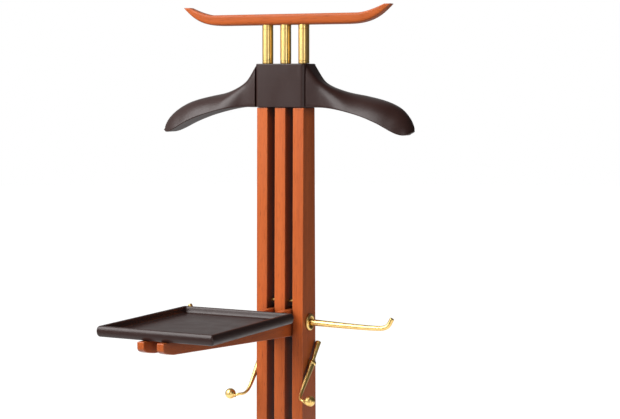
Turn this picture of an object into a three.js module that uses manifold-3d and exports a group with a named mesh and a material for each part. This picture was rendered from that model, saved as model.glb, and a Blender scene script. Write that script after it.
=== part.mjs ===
// A free-standing valet stand. Three tall wooden slats rise from a cross beam on two arched runner
// feet to a moulded hanger block with two shoulders. Three brass rods carry a curved bar above the
// block. A shallow tray stands forward of the post on two arms that are pinned in the gaps between
// the slats. On each side there is a long fixed hook and, below it, a hook that swings on a pin.
// Millimetres, +Z up. The stand faces -Y, and its floor centre is the origin.
import * as THREE from 'three';
import { mergeVertices } from 'three/addons/utils/BufferGeometryUtils.js';
import Module from 'manifold-3d';

const wasm = await Module();
wasm.setup();

// ---------------------------------------------------------------- driving dimensions

const GAP = 0.3; // clearance between pieces that touch

const SLAT = { thickness: 20, pitch: 33.5, topDepth: 40.6, footDepth: 57, sides: [-1, 0, 1] };
const TENON = { thickness: 13, topDepth: 30, topHeight: 24, footDepth: 40, footHeight: 26 };

const BLOCK = { halfWidth: 47, halfDepth: 22.5, bottom: 1011.5, top: 1083, cornerRadius: 11 };
const SHOULDER = {
  reach: 231, rootHalfDepth: 16.5, midHalfDepth: 24, tipHalfDepth: 17, forward: 8, lean: 9,
};
const DOWEL = { radius: 3.5, inner: 34, outer: 58, places: [[-12, 1043.5], [12, 1061]] };

const ROD = { radius: 9.1, socket: 9 };
const STUD = { radius: 4, bottom: 992, top: 1114 };
const BAR = { halfLength: 190.5, halfDepth: 13, bottom: 1146.5, top: 1164.5, tipTop: 1177.8 };

const TRAY = {
  width: 200, depth: 250.5, height: 16.5, back: -162, bottom: 679, floor: 6, rim: 9, corner: 4,
  roll: 6, rollDepth: 2.5, screwDepth: 4.6,
};
const ARM = {
  thickness: 12, x: 16.75, front: -420.5, back: 20, heel: -20, frontBottom: 660.2, backBottom: 634,
  noseHeight: 9, noseLength: 30,
};
const TRAY_SCREW = { seat: 668, shank: 1.7, head: 3.2, headHeight: 2.5, places: [-370, -205] };

const TIE = { radius: 3, reach: 35.5 };
const TIE_RODS = [
  { name: 'tie_rod_upper', y: -6, z: 691 },
  { name: 'arm_pin_front', y: -11, z: 646 },
  { name: 'arm_pin_rear', y: 11, z: 667 },
  { name: 'tie_rod_lower', y: -6, z: 330 },
];

const LONG_HOOK = { z: 656.5, rootRadius: 5.5, tipRadius: 3.8, shankRadius: 3, shankEnd: 34 };
const ROSETTE = { radius: 14, bore: 5.6 };
const SWING = {
  x: 49, z: 588, knuckle: 6, inner: 45.3, pinRadius: 2.5, pinEnd: 34, headSeat: 3.2, headRadius: 4,
};
const HOOK_BALL = { radius: 8.7, centre: new THREE.Vector3(74, -58.2, 536.5) };

const BEAM = { halfLength: 106.7, halfDepth: 33, bottom: 28, top: 62 };
const RUNNER = { inner: 107, outer: 133, front: -240, back: 178, sole: 5.3, tipHeight: 17, arch: 27 };
const FOOT_BOLT = { places: [-18, 18], z: 45, shank: 3, end: 68, head: 7 };
const SLAT_SCREW = { shank: 2, head: 5, top: 75 };
const GLIDE = { radius: 11, height: 5, nail: 1.5, nailTop: 17, places: { front: -217, back: 155 } };

// The post stands behind the origin, so that the origin is the centre of the whole outline.
const POST_Y = -(RUNNER.back + ARM.front) / 2;

// ---------------------------------------------------------------- materials

const finish = (color, roughness, metalness) =>
  new THREE.MeshStandardMaterial({ color, roughness, metalness });

const MAHOGANY = () => finish(0xb9552a, 0.3, 0);
const DARK_BROWN = () => finish(0x40332f, 0.45, 0);
const BRASS = () => finish(0xd8a850, 0.28, 1);
const STEEL = () => finish(0x9a9c9e, 0.4, 1);
const BEECH = () => finish(0xc9a26f, 0.7, 0);
const RUBBER = () => finish(0x242220, 0.8, 0);

// ---------------------------------------------------------------- shape helpers

const at = (x, y, z) => new THREE.Vector3(x, y, z);

// A closed three.js geometry as a solid that can be joined and cut.
function solid(geometry) {
  const bare = geometry.clone();
  bare.deleteAttribute('normal');
  bare.deleteAttribute('uv');
  const merged = mergeVertices(bare, 1e-4);
  return new wasm.Manifold(
    new wasm.Mesh({
      numProp: 3,
      vertProperties: new Float32Array(merged.attributes.position.array),
      triVerts: new Uint32Array(merged.index.array),
    }),
  );
}

function geometryOf(body) {
  const mesh = body.getMesh();
  const geometry = new THREE.BufferGeometry();
  geometry.setAttribute('position', new THREE.BufferAttribute(mesh.vertProperties, 3));
  geometry.setIndex(new THREE.BufferAttribute(mesh.triVerts, 1));
  geometry.computeVertexNormals();
  return geometry;
}

function box([x0, x1], [y0, y1], [z0, z1]) {
  const geometry = new THREE.BoxGeometry(x1 - x0, y1 - y0, z1 - z0);
  return solid(geometry.translate((x0 + x1) / 2, (y0 + y1) / 2, (z0 + z1) / 2));
}

// Turns a geometry made along +Y so that it runs from a point in a direction.
function aim(geometry, start, direction) {
  const turn = new THREE.Quaternion().setFromUnitVectors(at(0, 1, 0), direction.clone().normalize());
  return geometry.applyQuaternion(turn).translate(start.x, start.y, start.z);
}

function roundBar(start, end, radius, sides = 10) {
  const along = end.clone().sub(start);
  const length = along.length();
  const bar = new THREE.CylinderGeometry(radius, radius, length, sides).translate(0, length / 2, 0);
  return solid(aim(bar, start, along));
}

// A turned piece. The profile is a list of [radius, height], from the foot up its outside.
function turned(profile, start, direction, sides = 10) {
  const points = profile.map(([radius, height]) => new THREE.Vector2(radius, height));
  return solid(aim(new THREE.LatheGeometry(points, sides), start, direction));
}

// Skins a list of rings that all have the same number of points, and closes both ends.
// Each ring runs anticlockwise as seen from the end that the list goes to.
function loft(rings) {
  const sides = rings[0].length;
  const faces = [];
  for (let i = 0; i + 1 < rings.length; i += 1) {
    for (let j = 0; j < sides; j += 1) {
      const a = i * sides + j;
      const b = i * sides + ((j + 1) % sides);
      faces.push(a, b, b + sides, a, b + sides, a + sides);
    }
  }
  const last = (rings.length - 1) * sides;
  for (let j = 1; j + 1 < sides; j += 1) {
    faces.push(0, j + 1, j, last, last + j, last + j + 1);
  }
  const geometry = new THREE.BufferGeometry().setFromPoints(rings.flat());
  return geometry.setIndex(faces);
}

// A round bar along a curve, whose radius may change on the way.
function swept(curve, radiusAt, steps, sides) {
  const frames = curve.computeFrenetFrames(steps, false);
  const rings = [];
  for (let i = 0; i <= steps; i += 1) {
    const centre = curve.getPointAt(i / steps);
    const radius = radiusAt(i / steps);
    const ring = [];
    for (let j = 0; j < sides; j += 1) {
      const angle = (2 * Math.PI * j) / sides;
      const across = frames.normals[i].clone().multiplyScalar(radius * Math.cos(angle));
      const up = frames.binormals[i].clone().multiplyScalar(radius * Math.sin(angle));
      ring.push(centre.clone().add(across).add(up));
    }
    rings.push(ring);
  }
  return solid(loft(rings));
}

// Extrudes an outline drawn in Y and Z along +X.
function extrudeAlongX(outline, x0, x1, bevel = 0) {
  const geometry = new THREE.ExtrudeGeometry(outline, bevelled(x1 - x0, bevel));
  const turn = new THREE.Matrix4().makeBasis(at(0, 1, 0), at(0, 0, 1), at(1, 0, 0));
  return solid(geometry.applyMatrix4(turn).translate(x0 + bevel, 0, 0));
}

// Extrudes an outline drawn in X and Y along +Z.
function extrudeAlongZ(outline, z0, z1, bevel = 0) {
  const geometry = new THREE.ExtrudeGeometry(outline, bevelled(z1 - z0, bevel));
  return solid(geometry.translate(0, 0, z0 + bevel));
}

// Extrusion settings that keep the outline's own size at the middle of the thickness.
function bevelled(thickness, bevel, size = bevel, segments = 1) {
  return {
    depth: thickness - 2 * bevel,
    bevelEnabled: bevel > 0,
    bevelThickness: bevel,
    bevelSize: size,
    bevelOffset: -size,
    bevelSegments: segments,
    curveSegments: 3,
  };
}

function roundedRectangle(centreX, centreY, width, height, radius) {
  const [left, right] = [centreX - width / 2, centreX + width / 2];
  const [low, high] = [centreY - height / 2, centreY + height / 2];
  const outline = new THREE.Shape();
  outline.moveTo(left + radius, low);
  outline.lineTo(right - radius, low);
  outline.absarc(right - radius, low + radius, radius, -Math.PI / 2, 0);
  outline.lineTo(right, high - radius);
  outline.absarc(right - radius, high - radius, radius, 0, Math.PI / 2);
  outline.lineTo(left + radius, high);
  outline.absarc(left + radius, high - radius, radius, Math.PI / 2, Math.PI);
  outline.lineTo(left, low + radius);
  outline.absarc(left + radius, low + radius, radius, Math.PI, 1.5 * Math.PI);
  return outline;
}

function polygon(points) {
  return new THREE.Shape(points.map(([x, y]) => new THREE.Vector2(x, y)));
}

// ---------------------------------------------------------------- post

function slatDepth(z) {
  const down = (BLOCK.bottom - z) / (BLOCK.bottom - BEAM.top);
  return THREE.MathUtils.lerp(SLAT.topDepth, SLAT.footDepth, down);
}

// A slat with a tenon at each end. The side is -1, 0 or 1, and an outer slat has blind holes.
function makeSlat(side) {
  const x = side * SLAT.pitch;
  const [low, high] = [BEAM.top + GAP, BLOCK.bottom - GAP];
  const [foot, head] = [slatDepth(low) / 2, slatDepth(high) / 2];
  const outline = polygon([[-foot, low], [foot, low], [head, high], [-head, high]]);
  const inTenon = [x - TENON.thickness / 2, x + TENON.thickness / 2];
  let slat = extrudeAlongX(outline, x - SLAT.thickness / 2, x + SLAT.thickness / 2)
    .add(box(inTenon, [-TENON.topDepth / 2, TENON.topDepth / 2], [high - 2, high + TENON.topHeight]))
    .add(box(inTenon, [-TENON.footDepth / 2, TENON.footDepth / 2], [low - TENON.footHeight, low + 2]))
    .subtract(roundBar(at(x, 0, STUD.bottom - 2), at(x, 0, BLOCK.top), STUD.radius + GAP))
    .subtract(roundBar(at(x, 0, 0), at(x, 0, SLAT_SCREW.top + 1), SLAT_SCREW.shank + GAP));
  for (const { y, z } of TIE_RODS) {
    slat = slat.subtract(roundBar(
      at(-TIE.reach - GAP, y, z), at(TIE.reach + GAP, y, z), TIE.radius + GAP));
  }
  if (side !== 0) {
    const face = side * (SLAT.pitch + SLAT.thickness);
    const cut = (z, end, radius) => roundBar(
      at(side * (end - GAP), 0, z), at(face, 0, z), radius + GAP);
    slat = slat
      .subtract(cut(LONG_HOOK.z, LONG_HOOK.shankEnd, LONG_HOOK.shankRadius))
      .subtract(cut(SWING.z, SWING.pinEnd, SWING.pinRadius));
  }
  return slat;
}

function makeTieRod({ y, z }) {
  return roundBar(at(-TIE.reach, y, z), at(TIE.reach, y, z), TIE.radius);
}

// ---------------------------------------------------------------- hanger

function makeBlock() {
  const outline = roundedRectangle(0, 0, 2 * BLOCK.halfWidth, 2 * BLOCK.halfDepth, BLOCK.cornerRadius);
  let block = extrudeAlongZ(outline, BLOCK.bottom, BLOCK.top, 1.2);
  const mortiseTop = BLOCK.bottom + TENON.topHeight + GAP;
  for (const side of SLAT.sides) {
    const x = side * SLAT.pitch;
    const half = TENON.thickness / 2 + GAP;
    const deep = TENON.topDepth / 2 + GAP;
    block = block
      .subtract(box([x - half, x + half], [-deep, deep], [BLOCK.bottom - 1, mortiseTop]))
      .subtract(roundBar(at(x, 0, mortiseTop - 1), at(x, 0, BLOCK.top + 1), STUD.radius + GAP));
  }
  for (const side of [-1, 1]) {
    for (const [y, z] of DOWEL.places) {
      block = block.subtract(roundBar(
        at(side * (DOWEL.inner - GAP), y, z), at(side * (BLOCK.halfWidth + 1), y, z),
        DOWEL.radius + GAP));
    }
  }
  return block;
}

// The ridge and the underside of a shoulder, as curves in X and Z from the block out to the nose.
const RIDGE = new THREE.SplineCurve([
  [47.3, 1081.5], [50.5, 1077], [56, 1069], [62, 1061.3], [69, 1054.3], [79, 1048], [93, 1042],
  [114, 1035.6], [145, 1029.8], [171, 1024], [191, 1017.2], [208, 1007.7], [222, 994.5],
  [229.5, 982], [SHOULDER.reach, 974.5],
].map(([x, z]) => new THREE.Vector2(x, z)));
const UNDERSIDE = new THREE.SplineCurve([
  [47.3, 1011.5], [76, 1011.3], [102, 1008.3], [127, 1003], [152, 996], [177, 986.3],
  [199, 975], [211, 969.8], [221, 968.4], [SHOULDER.reach - 2.5, 971.5],
].map(([x, z]) => new THREE.Vector2(x, z)));

// Half the front-to-back depth of a shoulder, at a fraction of the way out to its nose.
function shoulderHalfDepth(along) {
  const swell = THREE.MathUtils.smoothstep(along, 0, 0.32);
  const shrink = THREE.MathUtils.smoothstep(along, 0.6, 1);
  const body = THREE.MathUtils.lerp(SHOULDER.rootHalfDepth, SHOULDER.midHalfDepth, swell);
  const round = Math.sqrt(Math.max(0.12, 1 - ((along - 0.82) / 0.18) ** 2));
  return THREE.MathUtils.lerp(body, SHOULDER.tipHalfDepth, shrink) * (along > 0.82 ? round : 1);
}

// A shoulder is flat underneath and domed on top: nearly square at the block, rounder outwards.
function makeShoulder() {
  const [steps, sides] = [18, 14];
  const rings = [];
  for (let i = 0; i <= steps; i += 1) {
    const along = i / steps;
    const ridge = RIDGE.getPointAt(along);
    const under = UNDERSIDE.getPointAt(along);
    const half = shoulderHalfDepth(along);
    const power = THREE.MathUtils.lerp(0.4, 0.9, THREE.MathUtils.smoothstep(along, 0, 0.4));
    const middle = -SHOULDER.forward * THREE.MathUtils.smoothstep(along, 0.35, 1);
    const lean = SHOULDER.lean * THREE.MathUtils.smoothstep(along, 0.2, 0.7);
    const ring = [];
    for (let j = 0; j < sides; j += 1) {
      const angle = (2 * Math.PI * (j + 0.5)) / sides;
      const across = Math.sign(Math.cos(angle)) * Math.abs(Math.cos(angle)) ** power;
      const lift = Math.abs(Math.sin(angle)) ** power;
      const height = Math.sin(angle) > 0 ? 0.22 + 0.78 * lift : 0.22 * (1 - lift ** 0.5);
      const spine = under.clone().lerp(ridge, height);
      ring.push(at(spine.x, middle + lean * height + half * across, spine.y));
    }
    rings.push(ring);
  }
  let shoulder = solid(loft(rings));
  for (const [y, z] of DOWEL.places) {
    shoulder = shoulder.subtract(roundBar(
      at(0, y, z), at(DOWEL.outer + GAP, y, z), DOWEL.radius + GAP));
  }
  return shoulder;
}

function makeDowel([y, z]) {
  return roundBar(at(DOWEL.inner, y, z), at(DOWEL.outer, y, z), DOWEL.radius);
}

// ---------------------------------------------------------------- top bar and its rods

// A long bar, flat in the middle, whose ends sweep up to a thin edge and narrow a little.
function makeTopBar() {
  const [steps, sides] = [22, 12];
  const rings = [];
  for (let i = 0; i <= steps; i += 1) {
    const x = BAR.halfLength * Math.sin((Math.PI / 2) * ((2 * i) / steps - 1));
    const out = Math.abs(x) / BAR.halfLength;
    const topRise = THREE.MathUtils.clamp((out - 0.7) / 0.245, 0, 1) ** 1.6;
    const bottomRise = Math.max(0, (out - 0.55) / 0.45) ** 3.1;
    const top = THREE.MathUtils.lerp(BAR.top, BAR.tipTop, topRise);
    const bottom = THREE.MathUtils.lerp(BAR.bottom, BAR.tipTop - 1, bottomRise);
    const half = BAR.halfDepth * (1 - 0.45 * out ** 4);
    const ring = [];
    for (let j = 0; j < sides; j += 1) {
      const angle = (2 * Math.PI * (j + 0.5)) / sides;
      const across = Math.sign(Math.cos(angle)) * Math.abs(Math.cos(angle)) ** 0.5;
      const lift = Math.sign(Math.sin(angle)) * Math.abs(Math.sin(angle)) ** 0.5;
      ring.push(at(x, half * across, (top + bottom) / 2 + ((top - bottom) / 2) * lift));
    }
    rings.push(ring);
  }
  let bar = solid(loft(rings));
  for (const side of SLAT.sides) {
    const x = side * SLAT.pitch;
    const socketTop = BAR.bottom + ROD.socket + GAP;
    bar = bar.subtract(roundBar(at(x, 0, BAR.bottom - 2), at(x, 0, socketTop), ROD.radius + GAP, 14));
  }
  return bar;
}

// A brass rod with a blind hole in its foot for the stud.
function makeRod(side) {
  const [low, high] = [BLOCK.top + GAP, BAR.bottom + ROD.socket];
  const bore = STUD.radius + GAP;
  const profile = [[0, STUD.top + 1 - low], [bore, STUD.top + 1 - low], [bore, 0],
    [ROD.radius, 0], [ROD.radius, high - low], [0, high - low]];
  return turned(profile, at(side * SLAT.pitch, 0, low), at(0, 0, 1), 14);
}

function makeStud(side) {
  const x = side * SLAT.pitch;
  return roundBar(at(x, 0, STUD.bottom), at(x, 0, STUD.top), STUD.radius);
}

// ---------------------------------------------------------------- tray

function makeTray() {
  const middleY = TRAY.back - TRAY.depth / 2;
  const outline = roundedRectangle(0, middleY, TRAY.width, TRAY.depth, TRAY.corner);
  const skin = new THREE.ExtrudeGeometry(outline, bevelled(TRAY.height, TRAY.roll, TRAY.rollDepth, 2));
  const well = roundedRectangle(
    0, middleY, TRAY.width - 2 * TRAY.rim, TRAY.depth - 2 * TRAY.rim, TRAY.corner);
  let tray = solid(skin.translate(0, 0, TRAY.bottom + TRAY.roll))
    .subtract(extrudeAlongZ(well, TRAY.bottom + TRAY.floor, TRAY.bottom + TRAY.height + 1));
  for (const side of [-1, 1]) {
    for (const y of TRAY_SCREW.places) {
      const x = side * ARM.x;
      tray = tray.subtract(roundBar(
        at(x, y, TRAY.bottom - 1), at(x, y, TRAY.bottom + TRAY.screwDepth),
        TRAY_SCREW.shank + GAP, 8));
    }
  }
  return tray;
}

// A tray arm: level on top, deep at the post and shallow in front, with its front corner rounded.
function makeTrayArm() {
  const top = TRAY.bottom - GAP;
  const outline = new THREE.Shape();
  outline.moveTo(ARM.back, top);
  outline.lineTo(ARM.front, top);
  const { front, heel, frontBottom, backBottom, noseHeight, noseLength } = ARM;
  const slope = (backBottom - frontBottom) / (heel - front);
  outline.lineTo(front, frontBottom + noseHeight);
  outline.quadraticCurveTo(
    front + 1, frontBottom + 2.5, front + noseLength, frontBottom + slope * noseLength);
  outline.lineTo(heel, backBottom);
  outline.lineTo(ARM.back, ARM.backBottom);
  let arm = extrudeAlongX(outline, ARM.x - ARM.thickness / 2, ARM.x + ARM.thickness / 2);
  for (const { y, z } of TIE_RODS) {
    arm = arm.subtract(roundBar(at(0, y, z), at(2 * ARM.x, y, z), TIE.radius + GAP));
  }
  for (const y of TRAY_SCREW.places) {
    const seat = TRAY_SCREW.seat;
    arm = arm
      .subtract(roundBar(at(ARM.x, y, seat - 1), at(ARM.x, y, top + 1), TRAY_SCREW.shank + GAP, 8))
      .subtract(roundBar(at(ARM.x, y, ARM.backBottom), at(ARM.x, y, seat), TRAY_SCREW.head + GAP, 8));
  }
  return arm;
}

function makeTrayScrew(y) {
  const { head, headHeight, shank, seat } = TRAY_SCREW;
  const length = TRAY.bottom + TRAY.screwDepth - 2 * GAP - (seat - GAP - headHeight);
  const profile = [[0, 0], [head, 0], [head, headHeight], [shank, headHeight], [shank, length],
    [0, length]];
  return turned(profile, at(ARM.x, y, seat - GAP - headHeight), at(0, 0, 1), 8);
}

// ---------------------------------------------------------------- long fixed hooks

const SLAT_FACE = SLAT.pitch + SLAT.thickness / 2;

function makeRosette() {
  const profile = [[ROSETTE.bore, 0], [ROSETTE.radius, 0], [ROSETTE.radius, 1.4], [12.6, 3.4],
    [10.6, 4.1], [8.8, 3.4], [7.6, 2.2], [ROSETTE.bore, 2.2], [ROSETTE.bore, 0]];
  return turned(profile, at(SLAT_FACE + GAP, 0, LONG_HOOK.z), at(1, 0, 0), 16);
}

// A rod that runs almost level out of the post and turns up at its end.
function makeLongHook() {
  const { z, rootRadius, tipRadius, shankRadius, shankEnd } = LONG_HOOK;
  const root = SLAT_FACE + GAP;
  const run = new THREE.CatmullRomCurve3([
    at(root, 0, z), at(86, 0.4, z - 1.4), at(126, 1.2, z - 2.4), at(160, 2.6, z - 2.8),
    at(176, 4, z - 1.8), at(184.5, 5.2, z + 2.8), at(190.4, 6.3, z + 13.5),
  ]);
  const radiusAt = (t) => THREE.MathUtils.lerp(rootRadius, tipRadius, t) * (t > 0.99 ? 0.6 : 1);
  return swept(run, radiusAt, 16, 10)
    .add(roundBar(at(shankEnd, 0, z), at(root + 2, 0, z), shankRadius));
}

// ---------------------------------------------------------------- swinging hooks

// One casting: a round knuckle, a flared arm up and back, and a tapered arm down and forward that
// turns outwards into the ball.
const BALL_WIRE = at(0.97, 0, 0.24).normalize();

function makeSwingHook() {
  const knuckle = at(SWING.x, 0, SWING.z);
  const flared = swept(
    new THREE.LineCurve3(knuckle, at(SWING.x, 22.5, SWING.z + 32.5)),
    (t) => THREE.MathUtils.lerp(2.8, 4.8, t ** 1.4), 3, 10);
  const wireEnd = HOOK_BALL.centre.clone().addScaledVector(BALL_WIRE, -3);
  const lower = new THREE.CatmullRomCurve3([
    knuckle, at(SWING.x, -20, SWING.z - 22), at(SWING.x, -39, SWING.z - 42.5),
    at(SWING.x + 3, -50, SWING.z - 50), at(SWING.x + 10.5, -56.8, SWING.z - 51.6),
    wireEnd.clone().addScaledVector(BALL_WIRE, -5), wireEnd,
  ]);
  const tapered = swept(lower, (t) => THREE.MathUtils.lerp(5.2, 2.3, Math.min(1, t / 0.72)), 18, 10);
  const ball = new THREE.SphereGeometry(SWING.knuckle, 12, 8);
  return solid(ball.translate(knuckle.x, knuckle.y, knuckle.z))
    .add(flared)
    .add(tapered)
    .subtract(box([0, SWING.inner], [-40, 40], [SWING.z - 40, SWING.z + 60]))
    .subtract(roundBar(at(40, 0, SWING.z), at(60, 0, SWING.z), SWING.pinRadius + GAP))
    .subtract(roundBar(at(SWING.x + SWING.headSeat, 0, SWING.z), at(60, 0, SWING.z), SWING.headRadius + GAP));
}

function makeHookBall() {
  const { radius, centre } = HOOK_BALL;
  const sphere = new THREE.SphereGeometry(radius, 14, 9).translate(centre.x, centre.y, centre.z);
  const boreStart = centre.clone().addScaledVector(BALL_WIRE, -2 * radius);
  const boreEnd = centre.clone().addScaledVector(BALL_WIRE, -2.4);
  return solid(sphere).subtract(roundBar(boreStart, boreEnd, 2.3 + GAP));
}

function makePivotPin() {
  const { pinEnd, pinRadius, x, headSeat, headRadius } = SWING;
  const seat = x + headSeat + GAP - pinEnd;
  const profile = [[0, 0], [pinRadius, 0], [pinRadius, seat], [headRadius, seat],
    [headRadius, seat + 1.3], [0.7 * headRadius, seat + 2.6], [0, seat + 3]];
  return turned(profile, at(pinEnd, 0, SWING.z), at(1, 0, 0));
}

function makeWasher() {
  const [inner, outer, thickness] = [SWING.pinRadius + GAP, 6, 1.2];
  const profile = [[inner, 0], [outer, 0], [outer, thickness], [inner, thickness], [inner, 0]];
  return turned(profile, at(SLAT_FACE + GAP / 2, 0, SWING.z), at(1, 0, 0));
}

// ---------------------------------------------------------------- base

function makeBeam() {
  const { halfLength, halfDepth, bottom, top } = BEAM;
  const section = roundedRectangle(0, (bottom + top) / 2, 2 * halfDepth, top - bottom, 3);
  const half = TENON.thickness / 2 + GAP;
  const deep = TENON.footDepth / 2 + GAP;
  const mortiseBottom = top - TENON.footHeight;
  let beam = extrudeAlongX(section, -halfLength, halfLength);
  for (const side of SLAT.sides) {
    const x = side * SLAT.pitch;
    const { shank, head } = SLAT_SCREW;
    beam = beam
      .subtract(box([x - half, x + half], [-deep, deep], [mortiseBottom, top + 1]))
      .subtract(roundBar(at(x, 0, bottom - 1), at(x, 0, mortiseBottom + 1), shank + GAP))
      .subtract(roundBar(at(x, 0, bottom - 1), at(x, 0, bottom + 3.5), head + GAP));
  }
  for (const side of [-1, 1]) {
    for (const y of FOOT_BOLT.places) {
      const { z, shank, end } = FOOT_BOLT;
      beam = beam.subtract(roundBar(
        at(side * (end - GAP), y, z), at(side * (halfLength + 1), y, z), shank + GAP));
    }
  }
  return beam;
}

function makeSlatScrew(side) {
  const { shank, head, top } = SLAT_SCREW;
  const low = BEAM.bottom + 0.3;
  const profile = [[0, 0], [head, 0], [head, 2.6], [shank, 2.9], [shank, top - low], [0, top - low]];
  return turned(profile, at(side * SLAT.pitch, 0, low), at(0, 0, 1));
}

// A runner foot: flat on top under the beam's height, sweeping down to both ends, arched below.
function makeRunner() {
  const { front, back, sole, tipHeight, arch, inner, outer } = RUNNER;
  const [pad, crown] = [42, 44];
  const outline = new THREE.Shape();
  outline.moveTo(front, sole);
  outline.lineTo(front + pad, sole);
  outline.bezierCurveTo(front + pad + 50, sole + 2, -90, arch, -20, arch);
  outline.bezierCurveTo(50, arch, back - pad - 40, sole + 2, back - pad, sole);
  outline.lineTo(back, sole);
  outline.lineTo(back, tipHeight);
  outline.bezierCurveTo(back - 40, tipHeight + 10, crown + 50, BEAM.top, crown, BEAM.top);
  outline.lineTo(-crown, BEAM.top);
  outline.bezierCurveTo(-crown - 60, BEAM.top, front + 55, tipHeight + 14, front, tipHeight);
  let runner = extrudeAlongX(outline, inner, outer, 1.5);
  for (const y of FOOT_BOLT.places) {
    runner = runner.subtract(roundBar(
      at(inner - 1, y, FOOT_BOLT.z), at(outer + 1, y, FOOT_BOLT.z), FOOT_BOLT.shank + GAP));
  }
  for (const y of Object.values(GLIDE.places)) {
    const x = (inner + outer) / 2;
    runner = runner.subtract(roundBar(at(x, y, 0), at(x, y, GLIDE.nailTop + 1), GLIDE.nail + GAP, 8));
  }
  return runner;
}

function makeFootBolt(y) {
  const { z, shank, end, head } = FOOT_BOLT;
  const seat = RUNNER.outer + GAP - end;
  const profile = [[0, 0], [shank, 0], [shank, seat], [head, seat], [head, seat + 0.8],
    [head - 2.5, seat + 2.4], [0, seat + 3]];
  return turned(profile, at(end, y, z), at(1, 0, 0), 10);
}

function makeGlide(y) {
  const { radius, height, nail, nailTop } = GLIDE;
  const x = (RUNNER.inner + RUNNER.outer) / 2;
  const profile = [[0, 0], [radius - 2, 0], [radius, 2], [radius, height], [nail, height],
    [nail, nailTop], [0, nailTop]];
  return turned(profile, at(x, y, 0), at(0, 0, 1), 12);
}

// ---------------------------------------------------------------- assembly

const stand = new THREE.Group();
stand.position.y = POST_Y;

function place(name, body, material) {
  const mesh = new THREE.Mesh(geometryOf(body), material);
  mesh.name = name;
  stand.add(mesh);
  return mesh;
}

// Places a right-hand piece and its mirror image on the left.
function placePair(name, body, material) {
  place(`${name}_right`, body, material);
  place(`${name}_left`, body, material).scale.x = -1;
}

const SIDE_NAMES = { '-1': 'left', 0: 'middle', 1: 'right' };
for (const side of SLAT.sides) {
  place(`slat_${SIDE_NAMES[side]}`, makeSlat(side), MAHOGANY());
  place(`brass_rod_${SIDE_NAMES[side]}`, makeRod(side), BRASS());
  place(`rod_stud_${SIDE_NAMES[side]}`, makeStud(side), STEEL());
  place(`slat_screw_${SIDE_NAMES[side]}`, makeSlatScrew(side), STEEL());
}
for (const rod of TIE_RODS) {
  place(rod.name, makeTieRod(rod), BRASS());
}

place('top_bar', makeTopBar(), MAHOGANY());
place('hanger_block', makeBlock(), DARK_BROWN());
placePair('shoulder', makeShoulder(), DARK_BROWN());
placePair('dowel_lower', makeDowel(DOWEL.places[0]), BEECH());
placePair('dowel_upper', makeDowel(DOWEL.places[1]), BEECH());

place('tray', makeTray(), DARK_BROWN());
placePair('tray_arm', makeTrayArm(), MAHOGANY());
placePair('tray_screw_front', makeTrayScrew(TRAY_SCREW.places[0]), STEEL());
placePair('tray_screw_back', makeTrayScrew(TRAY_SCREW.places[1]), STEEL());

placePair('rosette', makeRosette(), BRASS());
placePair('long_hook', makeLongHook(), BRASS());
placePair('swing_hook', makeSwingHook(), BRASS());
placePair('hook_ball', makeHookBall(), BRASS());
placePair('pivot_pin', makePivotPin(), BRASS());
placePair('pivot_washer', makeWasher(), BRASS());

place('cross_beam', makeBeam(), DARK_BROWN());
placePair('runner_foot', makeRunner(), MAHOGANY());
placePair('foot_bolt_front', makeFootBolt(FOOT_BOLT.places[0]), BRASS());
placePair('foot_bolt_back', makeFootBolt(FOOT_BOLT.places[1]), BRASS());
placePair('glide_front', makeGlide(GLIDE.places.front), RUBBER());
placePair('glide_back', makeGlide(GLIDE.places.back), RUBBER());

export default stand;
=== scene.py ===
"""Looks of a free-standing valet stand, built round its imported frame.

Shapes are drawn in millimetres in the stand's own frame: X to the right, Y to the back, Z up, with
the post's axis at X = Y = 0 and the floor at Z = 0. Each finished piece is in metres in the frame.
"""

import logging
import math
from dataclasses import dataclass
from enum import Enum
from typing import ClassVar, Optional, Sequence

import bmesh
import bpy
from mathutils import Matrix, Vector


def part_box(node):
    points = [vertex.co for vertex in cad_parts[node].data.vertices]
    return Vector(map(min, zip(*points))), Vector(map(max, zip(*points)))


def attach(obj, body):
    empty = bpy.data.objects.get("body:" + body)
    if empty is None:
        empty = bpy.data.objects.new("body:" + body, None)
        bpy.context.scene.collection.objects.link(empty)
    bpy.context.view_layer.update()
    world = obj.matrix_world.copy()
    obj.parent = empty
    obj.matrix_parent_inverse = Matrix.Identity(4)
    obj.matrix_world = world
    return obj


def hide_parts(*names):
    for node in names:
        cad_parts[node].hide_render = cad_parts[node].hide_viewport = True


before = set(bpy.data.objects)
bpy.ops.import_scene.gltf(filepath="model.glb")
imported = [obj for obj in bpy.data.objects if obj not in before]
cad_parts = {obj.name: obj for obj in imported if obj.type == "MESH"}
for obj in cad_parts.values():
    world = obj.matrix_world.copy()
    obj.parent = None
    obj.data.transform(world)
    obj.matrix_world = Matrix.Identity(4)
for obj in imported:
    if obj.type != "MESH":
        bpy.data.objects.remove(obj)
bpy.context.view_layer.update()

MM = 0.001
log = logging.getLogger("valet_stand")


def post_setback() -> float:
    """Returns how far back the post's axis stands in the frame, in metres."""
    low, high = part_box("slat_middle")
    return (low.y + high.y) / 2


POST_Y = post_setback()


class Side(Enum):
    """A place across the stand."""

    LEFT = -1
    MIDDLE = 0
    RIGHT = 1

    @property
    def word(self) -> str:
        """The side's name as the nodes spell it."""
        return self.name.lower()


PAIR = (Side.RIGHT, Side.LEFT)


class Body(Enum):
    """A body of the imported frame."""

    STAND = "stand"
    RIGHT_HOOK = "right_hook"
    LEFT_HOOK = "left_hook"


class Slot(Enum):
    """A material slot of the record."""

    MAHOGANY = "mahogany"
    DARK_BROWN = "dark_brown"
    BRASS = "brass"
    STEEL = "steel"
    DOWEL = "dowel"
    RUBBER = "rubber"


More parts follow.
